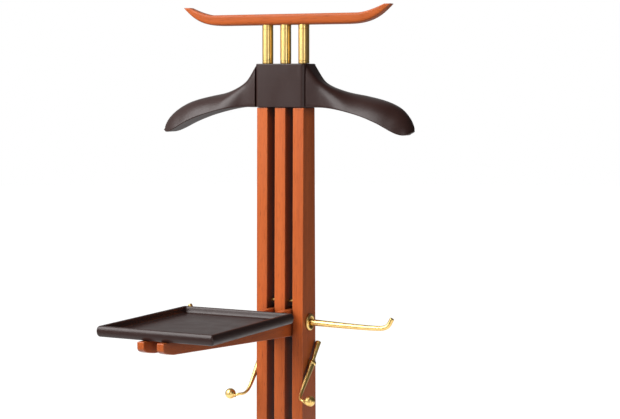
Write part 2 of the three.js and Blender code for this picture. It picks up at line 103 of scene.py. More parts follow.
class Along(Enum):
    """The axis that a grain, a bar or a row of polishing lines follows."""

    X = 0
    Y = 1
    Z = 2

    @property
    def unit(self) -> Vector:
        """The unit vector of the axis."""
        return Vector([1.0 if i == self.value else 0.0 for i in range(3)])


class Joint(Enum):
    """How two shapes are made one."""

    WELD = "UNION"
    CUT = "DIFFERENCE"


# ------------------------------------------------------------------------------ curves


def mix(start: float, end: float, share: float) -> float:
    """Returns the value at a share of the way from start to end."""
    return start + (end - start) * share


def ease(value: float, low: float, high: float) -> float:
    """Returns 0 below low, 1 above high, and a smooth step between them."""
    share = min(1.0, max(0.0, (value - low) / (high - low)))
    return share * share * (3 - 2 * share)


def signed_power(value: float, power: float) -> float:
    """Returns the power of a value's size, with the value's sign."""
    return math.copysign(abs(value) ** power, value)


def evenly(points: Sequence[Vector], count: int) -> list[Vector]:
    """Spaces points evenly along a line.

    Args:
        points: the line's corners, close together
        count: how many points to return

    Returns:
        points that lie on the line, the same distance apart
    """
    reach = [0.0]
    for start, end in zip(points, points[1:]):
        reach.append(reach[-1] + (end - start).length)
    spaced, leg = [], 0
    for step in range(count):
        target = reach[-1] * step / (count - 1)
        while leg < len(points) - 2 and reach[leg + 1] < target:
            leg += 1
        share = (target - reach[leg]) / max(reach[leg + 1] - reach[leg], 1e-9)
        spaced.append(points[leg].lerp(points[leg + 1], min(1.0, share)))
    return spaced


def smooth_through(points: Sequence[Vector], count: int) -> list[Vector]:
    """Draws a smooth curve through some points.

    Args:
        points: what the curve passes through
        count: how many points to return

    Returns:
        evenly spaced points of the curve
    """
    ends = [2 * points[0] - points[1], *points, 2 * points[-1] - points[-2]]
    dense = []
    for a, b, c, d in zip(ends, ends[1:], ends[2:], ends[3:]):
        for step in range(24):
            t = step / 24
            bend = (2 * a - 5 * b + 4 * c - d) * t * t + (3 * b - a - 3 * c + d) * t**3
            dense.append(0.5 * (2 * b + (c - a) * t + bend))
    dense.append(points[-1].copy())
    return evenly(dense, count)


def bezier(
    start: Sequence[float],
    leave: Sequence[float],
    arrive: Sequence[float],
    end: Sequence[float],
    count: int = 14,
) -> list[tuple[float, float]]:
    """Draws a flat curve with two handles.

    Args:
        start: where it starts
        leave: the handle that it leaves along
        arrive: the handle that it arrives along
        end: where it ends
        count: how many steps it takes

    Returns:
        the points after the start, up to the end
    """
    points = []
    for step in range(1, count + 1):
        t = step / count
        weights = ((1 - t) ** 3, 3 * t * (1 - t) ** 2, 3 * t * t * (1 - t), t**3)
        near = zip(weights, (start, leave, arrive, end))
        pairs = [(w * p[0], w * p[1]) for w, p in near]
        points.append((sum(p[0] for p in pairs), sum(p[1] for p in pairs)))
    return points


def rounded_ring(
    width: float, depth: float, radius: float, steps: int = 8
) -> list[tuple[float, float]]:
    """Draws a rectangle with round corners about the centre.

    Args:
        width: its full width
        depth: its full depth
        radius: the corners' radius
        steps: how many steps each corner takes

    Returns:
        its points, anticlockwise
    """
    ring = []
    for corner in range(4):
        sign_x = 1 if corner in (0, 3) else -1
        sign_y = 1 if corner in (0, 1) else -1
        for step in range(steps + 1):
            angle = math.pi / 2 * (corner + step / steps)
            x = sign_x * (width / 2 - radius) + radius * math.cos(angle)
            y = sign_y * (depth / 2 - radius) + radius * math.sin(angle)
            ring.append((x, y))
    return ring


# ------------------------------------------------------------------------------ shapes


def set_out(name: str, data: bpy.types.ID) -> bpy.types.Object:
    """Returns a new object of the scene that holds some data."""
    made = bpy.data.objects.new(name, data)
    bpy.context.scene.collection.objects.link(made)
    return made


class Shape:
    """A closed mesh in the making, in millimetres in the stand's own frame."""

    def __init__(self) -> None:
        """Starts with nothing."""
        self.mesh = bmesh.new()

    def loft(self, rings: Sequence[Sequence[Vector]], hoop: bool = False) -> "Shape":
        """Skins a row of rings.

        Args:
            rings: rings with the same number of points, or of one point for a tip
            hoop: joins the last ring to the first instead of closing both ends

        Returns:
            this shape
        """
        rows = [[self.mesh.verts.new(point) for point in ring] for ring in rings]
        pairs = list(zip(rows, rows[1:]))
        if hoop:
            pairs.append((rows[-1], rows[0]))
        for low, high in pairs:
            count = max(len(low), len(high))
            for i in range(count):
                j = (i + 1) % count
                corners = [low[i % len(low)], low[j % len(low)]]
                corners += [high[j % len(high)], high[i % len(high)]]
                self.mesh.faces.new(list(dict.fromkeys(corners)))
        if not hoop:
            for row in (rows[0], rows[-1]):
                if len(row) > 2:
                    self.mesh.faces.new(row)
        bmesh.ops.recalc_face_normals(self.mesh, faces=self.mesh.faces)
        return self

    def turn(
        self,
        profile: Sequence[Sequence[float]],
        foot: Vector,
        axis: Vector,
        sides: int = 48,
        hoop: bool = False,
    ) -> "Shape":
        """Turns a profile on a lathe.

        Args:
            profile: radius and height pairs; a third number of 6 makes that ring a hexagon
            foot: where height 0 is
            axis: the direction that height grows in
            sides: how many sides the round has
            hoop: says that the profile closes on itself

        Returns:
            this shape
        """
        along = axis.normalized()
        across = along.orthogonal().normalized()
        up = along.cross(across)
        rings = []
        for radius, height, *flats in profile:
            centre = foot + along * height
            ring = []
            for i in range(sides if radius > 1e-6 else 1):
                angle = 2 * math.pi * i / sides
                reach = radius
                if flats:
                    part = 2 * math.pi / flats[0]
                    reach = radius * math.cos(part / 2) / math.cos(angle % part - part / 2)
                spoke = across * math.cos(angle) + up * math.sin(angle)
                ring.append(centre + spoke * reach)
            rings.append(ring)
        return self.loft(rings, hoop)

    def sweep(
        self, path: Sequence[Vector], radii: Sequence[float], sides: int = 28
    ) -> "Shape":
        """Draws a round bar along a path.

        Args:
            path: the points that its middle follows
            radii: its radius at each point
            sides: how many sides the round has

        Returns:
            this shape
        """
        tips = [path[0], *path, path[-1]]
        across = (path[1] - path[0]).orthogonal()
        rings = []
        for before, centre, after, radius in zip(tips, path, tips[2:], radii):
            along = (after - before).normalized()
            across = (across - along * across.dot(along)).normalized()
            up = along.cross(across)
            angles = [2 * math.pi * i / sides for i in range(sides)]
            spokes = [across * math.cos(a) + up * math.sin(a) for a in angles]
            rings.append([centre + spoke * radius for spoke in spokes])
        return self.loft(rings)

    def prism(
        self, outline: Sequence[Sequence[float]], axis: Along, start: float, end: float
    ) -> "Shape":
        """Draws a flat outline out along an axis.

        Args:
            outline: the outline's points on the other two axes, in their order
            axis: the axis that it grows along
            start: where it starts on the axis
            end: where it ends

        Returns:
            this shape
        """
        rings = []
        for reach in (start, end):
            ring = []
            for first, second in outline:
                point = [first, second]
                point.insert(axis.value, reach)
                ring.append(Vector(point))
            rings.append(ring)
        return self.loft(rings)

    def ease_edges(self, width: float, steps: int = 3, angle: float = 35) -> "Shape":
        """Rounds every edge that is sharper than an angle.

        Args:
            width: how wide the rounding is on each face
            steps: how many steps it takes
            angle: the smallest angle that is rounded, in degrees

        Returns:
            this shape
        """
        limit = math.radians(angle)
        sharp = [edge for edge in self.mesh.edges if edge.calc_face_angle(0) > limit]
        bmesh.ops.bevel(
            self.mesh,
            geom=sharp,
            offset=width,
            offset_type="OFFSET",
            segments=steps,
            profile=0.5,
            affect="EDGES",
            clamp_overlap=True,
        )
        return self

    def on(self, side: Side) -> "Shape":
        """Mirrors a right-hand shape to the left if it belongs there, and returns it."""
        if side is Side.LEFT:
            bmesh.ops.scale(self.mesh, vec=(-1, 1, 1), verts=self.mesh.verts)
            bmesh.ops.reverse_faces(self.mesh, faces=self.mesh.faces)
        return self

    def with_shape(self, other: "Shape", joint: Joint) -> "Shape":
        """Welds another shape to this one, or cuts it away.

        Args:
            other: the other shape, which is used up
            joint: what is done with it

        Returns:
            this shape
        """
        loose = [shape.poured("loose") for shape in (self, other)]
        step = loose[0].modifiers.new("joint", "BOOLEAN")
        step.object, step.operation, step.solver = loose[1], joint.value, "EXACT"
        bpy.context.view_layer.update()
        worked = loose[0].evaluated_get(bpy.context.evaluated_depsgraph_get())
        joined = bpy.data.meshes.new_from_object(worked)
        self.mesh = bmesh.new()
        self.mesh.from_mesh(joined)
        bpy.data.meshes.remove(joined)
        for item in loose:
            bpy.data.meshes.remove(item.data)
        return self

    def drilled(self, start: Vector, end: Vector, radius: float) -> "Shape":
        """Drills a round hole from start to end, and returns this shape."""
        drill = Shape().sweep([start, end], [radius, radius], 32)
        return self.with_shape(drill, Joint.CUT)

    def poured(self, name: str) -> bpy.types.Object:
        """Makes the shape an object as it is, which uses the shape up, and returns it."""
        data = bpy.data.meshes.new(name)
        self.mesh.to_mesh(data)
        self.mesh.free()
        return set_out(name, data)

    def finished(self, name: str, crisp: float = 32) -> bpy.types.Object:
        """Makes the shape an object, in metres in the frame.

        Args:
            name: the object's name
            crisp: the angle in degrees above which an edge stays crisp

        Returns:
            the new object
        """
        for vertex in self.mesh.verts:
            vertex.co = vertex.co * MM + Vector((0, POST_Y, 0))
        made = self.poured(name)
        made.data.shade_smooth()
        made.data.set_sharp_from_angle(angle=math.radians(crisp))
        shading = made.modifiers.new("even shading", "WEIGHTED_NORMAL")
        shading.keep_sharp = True
        return made


# ------------------------------------------------------------------------------ node trees

Socket = bpy.types.NodeSocket
Colour = tuple[float, float, float]
FLOAT, COLOUR, VECTOR = "NodeSocketFloat", "NodeSocketColor", "NodeSocketVector"


class Sheet:
    """A node tree being drawn."""

    def __init__(self, tree: bpy.types.NodeTree) -> None:
        """Takes the tree to draw in."""
        self.tree = tree

    @classmethod
    def blank(cls, owner: bpy.types.ID) -> "Sheet":
        """Returns the emptied tree of a material or a world."""
        owner.use_nodes = True
        owner.node_tree.nodes.clear()
        return cls(owner.node_tree)

    def close(self, shader: bpy.types.Node, kind: str = "OutputMaterial") -> None:
        """Ends the tree with an output of a kind, fed by its shader."""
        self.feed(self.add(kind).inputs["Surface"], shader.outputs[0])

    def feed(self, socket: Socket, value: object) -> None:
        """Gives a socket another socket's output, a colour or a number."""
        if isinstance(value, bpy.types.NodeSocket):
            self.tree.links.new(value, socket)
        elif socket.type == "RGBA" and len(value) == 3:
            socket.default_value = (*value, 1.0)
        else:
            socket.default_value = value

    def add(self, kind: str, inputs: Optional[dict] = None, **options: object) -> bpy.types.Node:
        """Adds a shader node.

        Args:
            kind: the node's type, without ShaderNode in front
            inputs: what each input is given, by its name or number
            options: the node's own settings

        Returns:
            the new node
        """
        node = self.tree.nodes.new("ShaderNode" + kind)
        for key, value in options.items():
            setattr(node, key, value)
        for key, value in (inputs or {}).items():
            self.feed(node.inputs[key], value)
        return node

    def maths(self, operation: str, first: object, second: object) -> Socket:
        """Returns the result of a Math node on two values."""
        return self.add("Math", {0: first, 1: second}, operation=operation).outputs[0]

    def times(self, first: object, second: object) -> Socket:
        """Returns two values multiplied."""
        return self.maths("MULTIPLY", first, second)

    def plus(self, first: object, second: object) -> Socket:
        """Returns two values added."""
        return self.maths("ADD", first, second)

    def vectors(self, operation: str, first: object, second: object = (0, 0, 0),
                output: str = "Vector") -> Socket:
        """Returns an output of a Vector Math node on two vectors."""
        node = self.add("VectorMath", {0: first, 1: second}, operation=operation)
        return node.outputs[output]

    def grey(self, value: Socket) -> Socket:
        """Returns a grey as bright as a value."""
        return self.add("CombineColor", {0: value, 1: value, 2: value}).outputs[0]

    def blend(self, share: object, under: object, over: object) -> Socket:
        """Returns a colour that lies over another by a share."""
        inputs = {"Factor": share, "A": under, "B": over}
        node = self.tree.nodes.new("ShaderNodeMix")
        node.data_type = "RGBA"
        for socket in node.inputs:
            if socket.enabled and socket.name in inputs:
                self.feed(socket, inputs[socket.name])
        return next(socket for socket in node.outputs if socket.enabled)

    def spread(self, value: object, low: float, high: float, start: float, end: float) -> Socket:
        """Returns a value's range from low to high as start to end, held at both ends."""
        inputs = {"Value": value, "From Min": low, "From Max": high}
        inputs |= {"To Min": start, "To Max": end}
        return self.add("MapRange", inputs).outputs[0]

    def noise(self, place: Socket, scale: object, detail: float = 3, rough: float = 0.5) -> Socket:
        """Returns the value of a Noise texture."""
        inputs = {"Vector": place, "Scale": scale, "Detail": detail, "Roughness": rough}
        return self.add("TexNoise", inputs).outputs[0]

    def stretched(self, place: Socket, scale: Vector, shift: Vector) -> Socket:
        """Returns a place scaled on each axis and shifted."""
        inputs = {"Vector": place, "Scale": scale, "Location": shift}
        return self.add("Mapping", inputs).outputs[0]


class Effect:
    """A surface effect, kept as one node group that is built once and used by any material."""

    title: ClassVar[str]
    takes: ClassVar[dict[str, tuple[str, object]]]
    gives: ClassVar[dict[str, str]]
    built: ClassVar[dict[str, bpy.types.NodeTree]] = {}

    @classmethod
    def draw(cls, sheet: Sheet, given: dict[str, Socket]) -> dict[str, Socket]:
        """Draws the inside of the group.

        Args:
            sheet: the group's tree
            given: the group's inputs, by name

        Returns:
            what each output is given, by name
        """
        raise NotImplementedError

    @classmethod
    def tree(cls) -> bpy.types.NodeTree:
        """Returns the group's tree, and builds it the first time."""
        if cls.title not in cls.built:
            tree = bpy.data.node_groups.new(cls.title, "ShaderNodeTree")
            for name, (kind, value) in cls.takes.items():
                socket = tree.interface.new_socket(name, in_out="INPUT", socket_type=kind)
                if value is not None:
                    socket.default_value = value
            for name, kind in cls.gives.items():
                tree.interface.new_socket(name, in_out="OUTPUT", socket_type=kind)
            start = tree.nodes.new("NodeGroupInput")
            end = tree.nodes.new("NodeGroupOutput")
            sheet = Sheet(tree)
            results = cls.draw(sheet, {s.name: s for s in start.outputs if s.name})
            for name, socket in results.items():
                sheet.feed(end.inputs[name], socket)
            cls.built[cls.title] = tree
        return cls.built[cls.title]

    @classmethod
    def place(cls, sheet: Sheet, **inputs: object) -> dict[str, Socket]:
        """Places the group in a material.

        Args:
            sheet: the material's tree
            inputs: what each input is given, with _ for a space in its name

        Returns:
            the group's outputs, by name
        """
        node = sheet.tree.nodes.new("ShaderNodeGroup")
        node.node_tree = cls.tree()
        for name, value in inputs.items():
            sheet.feed(node.inputs[name.replace("_", " ")], value)
        return {socket.name: socket for socket in node.outputs}


class WoodGrain(Effect):
    """Long figure, fine streaks and open pores, in coordinates squeezed along the grain."""

    title = "wood grain"
    takes = {
        "Vector": (VECTOR, None),
        "Pale": (COLOUR, (0.6, 0.2, 0.07, 1)),
        "Deep": (COLOUR, (0.4, 0.1, 0.03, 1)),
        "Pore": (COLOUR, (0.15, 0.03, 0.01, 1)),
        "Streaks": (FLOAT, 0.5),
        "Pores": (FLOAT, 0.5),
    }
    gives = {"Color": COLOUR, "Fibre": FLOAT, "Height": FLOAT}
    warp_scale, figure_scale, streak_scale, pore_scale = 14.0, 62.0, 330.0, 1150.0
    sway = 0.018

    @classmethod
    def draw(cls, sheet: Sheet, given: dict[str, Socket]) -> dict[str, Socket]:
        """Draws the figure, streaks and pores. See Effect.draw for Args and Returns."""
        inputs = {"Vector": given["Vector"], "Scale": cls.warp_scale, "Detail": 1.0}
        warp = sheet.add("TexNoise", inputs).outputs["Color"]
        sway = sheet.vectors("MULTIPLY", warp, (cls.sway,) * 3)
        place = sheet.vectors("ADD", given["Vector"], sway)
        figure = sheet.noise(place, cls.figure_scale, 2)
        streak = sheet.noise(place, cls.streak_scale, 4, 0.62)
        pore = sheet.noise(place, cls.pore_scale, 2)
        depth = sheet.plus(sheet.spread(figure, 0.34, 0.66, 0.0, 0.55),
                           sheet.spread(streak, 0.36, 0.68, 0.0, 0.45))
        share = sheet.times(depth, given["Streaks"])
        tone = sheet.blend(share, given["Pale"], given["Deep"])
        open_pore = sheet.spread(pore, 0.6, 0.72, 0.0, 1.0)
        colour = sheet.blend(sheet.times(open_pore, given["Pores"]), tone, given["Pore"])
        height = sheet.maths("SUBTRACT", sheet.times(streak, 0.35), open_pore)
        return {"Color": colour, "Fibre": depth, "Height": height}


class WornEdges(Effect):
    """Finds the rounded edges where hands and cloth rub a finish thin, in broken patches."""

    title = "worn edges"
    takes = {"Vector": (VECTOR, None), "Width": (FLOAT, 0.002), "Patchiness": (FLOAT, 60.0)}
    gives = {"Mask": FLOAT}

    @classmethod
    def draw(cls, sheet: Sheet, given: dict[str, Socket]) -> dict[str, Socket]:
        """Draws the edge mask. See Effect.draw for Args and Returns."""
        soft = sheet.add("Bevel", {"Radius": given["Width"]}, samples=4)
        flat = sheet.add("NewGeometry").outputs["Normal"]
        facing = sheet.vectors("DOT_PRODUCT", soft.outputs[0], flat, "Value")
        edge = sheet.spread(facing, 0.995, 0.86, 0.0, 1.0)
        patches = sheet.noise(given["Vector"], given["Patchiness"], 4)
        worn = sheet.spread(patches, 0.38, 0.66, 0.15, 1.0)
        return {"Mask": sheet.times(edge, worn)}


class Smudges(Effect):
    """Uneven gloss where a surface has been handled and wiped."""

    title = "smudges"
    takes = {"Vector": (VECTOR, None), "Size": (FLOAT, 22.0)}
    gives = {"Mask": FLOAT}

    @classmethod
    def draw(cls, sheet: Sheet, given: dict[str, Socket]) -> dict[str, Socket]:
        """Draws the smudge mask. See Effect.draw for Args and Returns."""
        inputs = {"Vector": given["Vector"], "Scale": given["Size"], "Detail": 5.0}
        cloud = sheet.add("TexNoise", {**inputs, "Distortion": 0.8}).outputs[0]
        wipe = sheet.stretched(given["Vector"], Vector((3.0, 3.0, 0.7)), Vector((4, 1, 2)))
        both = sheet.plus(cloud, sheet.noise(wipe, given["Size"]))
        return {"Mask": sheet.spread(both, 0.75, 1.25, 0.0, 1.0)}


class FineScratches(Effect):
    """A web of hair-fine scratches."""

    title = "fine scratches"
    takes = {"Vector": (VECTOR, None), "Spacing": (FLOAT, 90.0), "Length": (FLOAT, 8.0)}
    gives = {"Mask": FLOAT}

    @classmethod
    def draw(cls, sheet: Sheet, given: dict[str, Socket]) -> dict[str, Socket]:
        """Draws two crossed sets of scratches. See Effect.draw for Args and Returns."""
        total: object = 0.0
        for turn in ((0.4, 0.9, 0.3), (1.9, 0.2, 1.3)):
            inputs = {"Vector": given["Vector"], "Rotation": turn}
            turned = sheet.add("Mapping", inputs).outputs[0]
            long = sheet.add("CombineXYZ", {0: 1.0, 1: 1.0, 2: given["Length"]}).outputs[0]
            thin = sheet.vectors("DIVIDE", turned, long)
            inputs = {"Vector": thin, "Scale": given["Spacing"]}
            cells = sheet.add("TexVoronoi", inputs, feature="DISTANCE_TO_EDGE").outputs[0]
            line = sheet.spread(cells, 0.0, 0.035, 1.0, 0.0)
            rare = sheet.spread(sheet.noise(given["Vector"], 35.0), 0.5, 0.62, 0.0, 1.0)
            total = sheet.plus(total, sheet.times(line, rare))
        return {"Mask": sheet.maths("MINIMUM", total, 1.0)}


class CreviceShade(Effect):
    """Finds sheltered corners and gaps by ambient occlusion, a mask for painted shade there and,
    on brass, also for tarnish.
    """

    title = "creviceshade"
    takes = {"Reach": (FLOAT, 0.01), "Depth": (FLOAT, 1.0)}
    gives = {"Mask": FLOAT}

    @classmethod
    def draw(cls, sheet: Sheet, given: dict[str, Socket]) -> dict[str, Socket]:
        """Draws the crevice mask. See Effect.draw for Args and Returns."""
        shelter = sheet.add("AmbientOcclusion", {"Distance": given["Reach"]}, samples=6)
        open_air = sheet.spread(shelter.outputs["AO"], 0.25, 0.95, 1.0, 0.0)
        return {"Mask": sheet.times(open_air, given["Depth"])}


class FilmRipple(Effect):
    """The faint orange-peel ripple of a sprayed film."""

    title = "film ripple"
    takes = {"Vector": (VECTOR, None), "Scale": (FLOAT, 400.0)}
    gives = {"Height": FLOAT}

    @classmethod
    def draw(cls, sheet: Sheet, given: dict[str, Socket]) -> dict[str, Socket]:
        """Draws the ripple. See Effect.draw for Args and Returns."""
        fine = sheet.noise(given["Vector"], given["Scale"], 1.5)
        broad = sheet.noise(given["Vector"], 70.0, 1)
        return {"Height": sheet.plus(sheet.times(fine, 0.4), broad)}


class PolishLines(Effect):
    """Fine lines left by polishing round a bar, in coordinates stretched along the bar."""

    title = "polish lines"
    takes = {"Vector": (VECTOR, None), "Scale": (FLOAT, 500.0)}
    gives = {"Mask": FLOAT}

    @classmethod
    def draw(cls, sheet: Sheet, given: dict[str, Socket]) -> dict[str, Socket]:
        """Draws the lines. See Effect.draw for Args and Returns."""
        lines = sheet.noise(given["Vector"], given["Scale"])
        return {"Mask": sheet.spread(lines, 0.35, 0.65, 0.0, 1.0)}


class RoomWalls(Effect):
    """What shiny surfaces see of the room: a pale left wall, a softer front and a dim back."""

    title = "room walls"
    takes = {"Vector": (VECTOR, None), "Pale": (FLOAT, 0.55), "Soft": (FLOAT, 0.13),
             "Dim": (FLOAT, 0.07), "Back": (FLOAT, 0.4)}
    gives = {"Glow": FLOAT}
    walls = {"Pale": ((-0.94, -0.34, 0.0), 0.70, 0.92), "Soft": ((-0.30, -0.95, 0.0), -0.20, 0.50)}

    @classmethod
    def draw(cls, sheet: Sheet, given: dict[str, Socket]) -> dict[str, Socket]:
        """Draws the walls by direction. See Effect.draw for Args and Returns."""
        way = sheet.vectors("NORMALIZE", given["Vector"])
        glow: object = given["Dim"]
        for wall, (towards, low, high) in cls.walls.items():
            facing = sheet.vectors("DOT_PRODUCT", way, towards, "Value")
            lit = sheet.times(sheet.spread(facing, low, high, 0.0, 1.0), given[wall])
            glow = sheet.maths("MAXIMUM", glow, lit)
        across, _, up = sheet.add("SeparateXYZ", {0: way}).outputs
        behind = sheet.times(sheet.spread(up, 0.02, 0.16, 0.0, 1.0),
                             sheet.spread(across, 0.1, -0.3, 0.0, 1.0))
        return {"Glow": sheet.maths("MAXIMUM", glow, sheet.times(behind, given["Back"]))}


# ------------------------------------------------------------------------------ finishes


@dataclass(frozen=True)
class Finish:
    """A finish for one or more pieces. Each kind fills in its own shader."""

    along: Along = Along.Z
    shift: float = 0.0

    slot: ClassVar[Slot]
    made: ClassVar[dict["Finish", bpy.types.Material]] = {}
    lines_start: ClassVar[tuple[float, float]] = (0.2, 0.9)

    def shade(self, sheet: Sheet, place: Socket, shader: bpy.types.Node) -> None:
        """Draws the finish.

        Args:
            sheet: the material's tree
            place: the piece's own coordinates, in metres
            shader: the material's shader
        """
        raise NotImplementedError

    def grain_place(self, sheet: Sheet, place: Socket, squeeze: float) -> Socket:
        """Returns coordinates squeezed along the grain and moved to this piece's own part."""
        scale = Vector((1, 1, 1)) + self.along.unit * (squeeze - 1)
        return sheet.stretched(place, scale, Vector((self.shift, 0.7 * self.shift, 0.3)))

    def lines_place(self, sheet: Sheet, place: Socket) -> Socket:
        """Returns coordinates stretched across a bar, for the lines that polishing leaves."""
        across = Vector((0.05, 0.05, 0.05)) + self.along.unit * 0.95
        return sheet.stretched(place, across, Vector((self.shift, *self.lines_start)))

    def bump(self, sheet: Sheet, shader: bpy.types.Node, height: object, depth: float) -> None:
        """Raises the surface by a height of so many millimetres."""
        inputs = {"Height": height, "Strength": 1.0, "Distance": depth * MM}
        sheet.feed(shader.inputs["Normal"], sheet.add("Bump", inputs).outputs[0])

    def material(self) -> bpy.types.Material:
        """Returns the finish as a material, and makes it the first time."""
        if self not in Finish.made:
            name = f"{type(self).__name__}_{self.along.name}_{self.shift:g}"
            made = bpy.data.materials.new(name)
            sheet = Sheet.blank(made)
            shader = sheet.add("BsdfPrincipled")
            sheet.close(shader)
            self.shade(sheet, sheet.add("TexCoord").outputs["Object"], shader)
            Finish.made[self] = made
        return Finish.made[self]


@dataclass(frozen=True)
class Mahogany(Finish):
    """Red-brown wood under a clear gloss lacquer."""

    tone: float = 1.0
    pale: Colour = (0.67, 0.148, 0.030)
    deep: Colour = (0.45, 0.083, 0.015)
    pore: Colour = (0.17, 0.030, 0.009)
    rubbed: Colour = (0.72, 0.22, 0.06)
    # near-black brown, painted as shade into the gaps between slats and other sheltered corners
    painted_crevice_shade: Colour = (0.035, 0.008, 0.004)
    polish: float = 0.36

    slot = Slot.MAHOGANY

    def shade(self, sheet: Sheet, place: Socket, shader: bpy.types.Node) -> None:
        """Draws grain, thin edges and painted shade in corners and gaps, under lacquer. See
        Finish.shade for Args.
        """
        grain_place = self.grain_place(sheet, place, 0.055)
        shades = [tuple(self.tone * c for c in s) for s in (self.pale, self.deep)]
        grain = WoodGrain.place(
            sheet, Vector=grain_place, Pale=shades[0], Deep=shades[1], Pore=self.pore,
            Streaks=0.72, Pores=0.55,
        )
        worn = WornEdges.place(sheet, Vector=place, Width=1.6 * MM, Patchiness=70.0)
        # painted shade: ambient occlusion blends the gaps and corners towards near-black brown
        crevice_shade_mask = CreviceShade.place(sheet, Reach=20 * MM, Depth=0.93)
        smudge = Smudges.place(sheet, Vector=place, Size=20.0)
        colour = sheet.blend(sheet.times(worn["Mask"], 0.4), grain["Color"], self.rubbed)
        colour = sheet.blend(crevice_shade_mask["Mask"], colour, self.painted_crevice_shade)
        sheet.feed(shader.inputs["Base Color"], colour)
        gloss = sheet.plus(sheet.spread(smudge["Mask"], 0, 1, 0.30, 0.40),
                           sheet.times(grain["Fibre"], 0.05))
        sheet.feed(shader.inputs["Roughness"], gloss)
        shader.inputs["Specular IOR Level"].default_value = self.polish
        shader.inputs["Coat Weight"].default_value = 0.16
        shader.inputs["Coat Roughness"].default_value = 0.16
        ripple = FilmRipple.place(sheet, Vector=place, Scale=320.0)
        height = sheet.plus(sheet.times(grain["Height"], 0.5), ripple["Height"])
        self.bump(sheet, shader, height, 0.05)


@dataclass(frozen=True)
class DarkBrown(Finish):
    """Wood sprayed in a satin brown that is nearly black, with its grain just showing."""

    paint: Colour = (0.036, 0.0150, 0.0125)
    deep: Colour = (0.027, 0.0105, 0.0085)
    rubbed: Colour = (0.080, 0.040, 0.032)

    slot = Slot.DARK_BROWN

    def shade(self, sheet: Sheet, place: Socket, shader: bpy.types.Node) -> None:
        """Draws paint over closed grain. See Finish.shade for Args."""
        grain_place = self.grain_place(sheet, place, 0.06)
        grain = WoodGrain.place(
            sheet, Vector=grain_place, Pale=self.paint, Deep=self.deep, Pore=self.deep,
            Streaks=0.8, Pores=0.25,
        )
        worn = WornEdges.place(sheet, Vector=place, Width=1.8 * MM, Patchiness=55.0)
        scratches = FineScratches.place(sheet, Vector=place, Spacing=60.0, Length=9.0)
        smudge = Smudges.place(sheet, Vector=place, Size=16.0)
        marks = sheet.maths("MAXIMUM", sheet.times(worn["Mask"], 0.45),
                            sheet.times(scratches["Mask"], 0.12))
        sheet.feed(shader.inputs["Base Color"], sheet.blend(marks, grain["Color"], self.rubbed))
        shader.inputs["Specular IOR Level"].default_value = 0.40
        gloss = sheet.maths("SUBTRACT", sheet.spread(smudge["Mask"], 0, 1, 0.31, 0.39),
                            sheet.times(worn["Mask"], 0.08))
        sheet.feed(shader.inputs["Roughness"], gloss)
        ripple = FilmRipple.place(sheet, Vector=place, Scale=450.0)
        height = sheet.plus(sheet.times(grain["Height"], 0.3), ripple["Height"])
        self.bump(sheet, shader, height, 0.045)


@dataclass(frozen=True)
class Brass(Finish):
    """Solid brass, polished and lightly aged."""

    bright: Colour = (0.96, 0.70, 0.27)
    warm: Colour = (0.93, 0.62, 0.21)
    # dark brown for tarnish, also painted as shade into recesses
    tarnish_and_shade: Colour = (0.30, 0.15, 0.035)

    slot = Slot.BRASS

    def shade(self, sheet: Sheet, place: Socket, shader: bpy.types.Node) -> None:
        """Draws polish lines, warm patches, and tarnish with painted shade in recesses. See
        Finish.shade for Args.
        """
        lines = PolishLines.place(sheet, Vector=self.lines_place(sheet, place), Scale=900.0)
        smudge = Smudges.place(sheet, Vector=place, Size=45.0)
        # tarnish and painted shade: ambient occlusion darkens recesses, such as the rosette's
        # round the rod
        crevice_shade_mask = CreviceShade.place(sheet, Reach=5 * MM, Depth=0.85)
        scratches = FineScratches.place(sheet, Vector=place, Spacing=260.0, Length=7.0)
        colour = sheet.blend(smudge["Mask"], self.bright, self.warm)
        colour = sheet.blend(crevice_shade_mask["Mask"], colour, self.tarnish_and_shade)
        sheet.feed(shader.inputs["Base Color"], colour)
        shader.inputs["Metallic"].default_value = 1.0
        gloss = sheet.plus(sheet.spread(smudge["Mask"], 0, 1, 0.27, 0.33),
                           sheet.times(lines["Mask"], 0.03))
        gloss = sheet.plus(gloss, sheet.times(scratches["Mask"], 0.04))
        sheet.feed(shader.inputs["Roughness"], gloss)
        height = sheet.maths("SUBTRACT", sheet.times(lines["Mask"], 0.5), scratches["Mask"])
        self.bump(sheet, shader, height, 0.0008)


@dataclass(frozen=True)
class ZincSteel(Finish):
    """Bright zinc on a steel fastener."""

    bright: Colour = (0.60, 0.61, 0.63)
    dull: Colour = (0.36, 0.35, 0.33)

    slot = Slot.STEEL
    lines_start = (0.1, 0.4)

    def shade(self, sheet: Sheet, place: Socket, shader: bpy.types.Node) -> None:
        """Draws thread-like lines and dull patches. See Finish.shade for Args."""
        lines = PolishLines.place(sheet, Vector=self.lines_place(sheet, place), Scale=700.0)
        smudge = Smudges.place(sheet, Vector=place, Size=120.0)
        sheet.feed(shader.inputs["Base Color"],
                   sheet.blend(smudge["Mask"], self.bright, self.dull))
        shader.inputs["Metallic"].default_value = 1.0
        sheet.feed(shader.inputs["Roughness"], sheet.spread(smudge["Mask"], 0, 1, 0.28, 0.5))
        self.bump(sheet, shader, lines["Mask"], 0.03)


@dataclass(frozen=True)
class BeechDowel(Finish):
    """Bare beech with short flecks."""

    pale: Colour = (0.62, 0.42, 0.25)
    deep: Colour = (0.46, 0.27, 0.14)
    fleck: Colour = (0.30, 0.16, 0.08)

    slot = Slot.DOWEL

    def shade(self, sheet: Sheet, place: Socket, shader: bpy.types.Node) -> None:
        """Draws bare grain. See Finish.shade for Args."""
        grain = WoodGrain.place(
            sheet, Vector=self.grain_place(sheet, place, 0.12), Pale=self.pale,
            Deep=self.deep, Pore=self.fleck, Streaks=0.6, Pores=0.7,
        )
        sheet.feed(shader.inputs["Base Color"], grain["Color"])
        sheet.feed(shader.inputs["Roughness"], sheet.spread(grain["Fibre"], 0, 1, 0.6, 0.75))
        self.bump(sheet, shader, grain["Height"], 0.08)


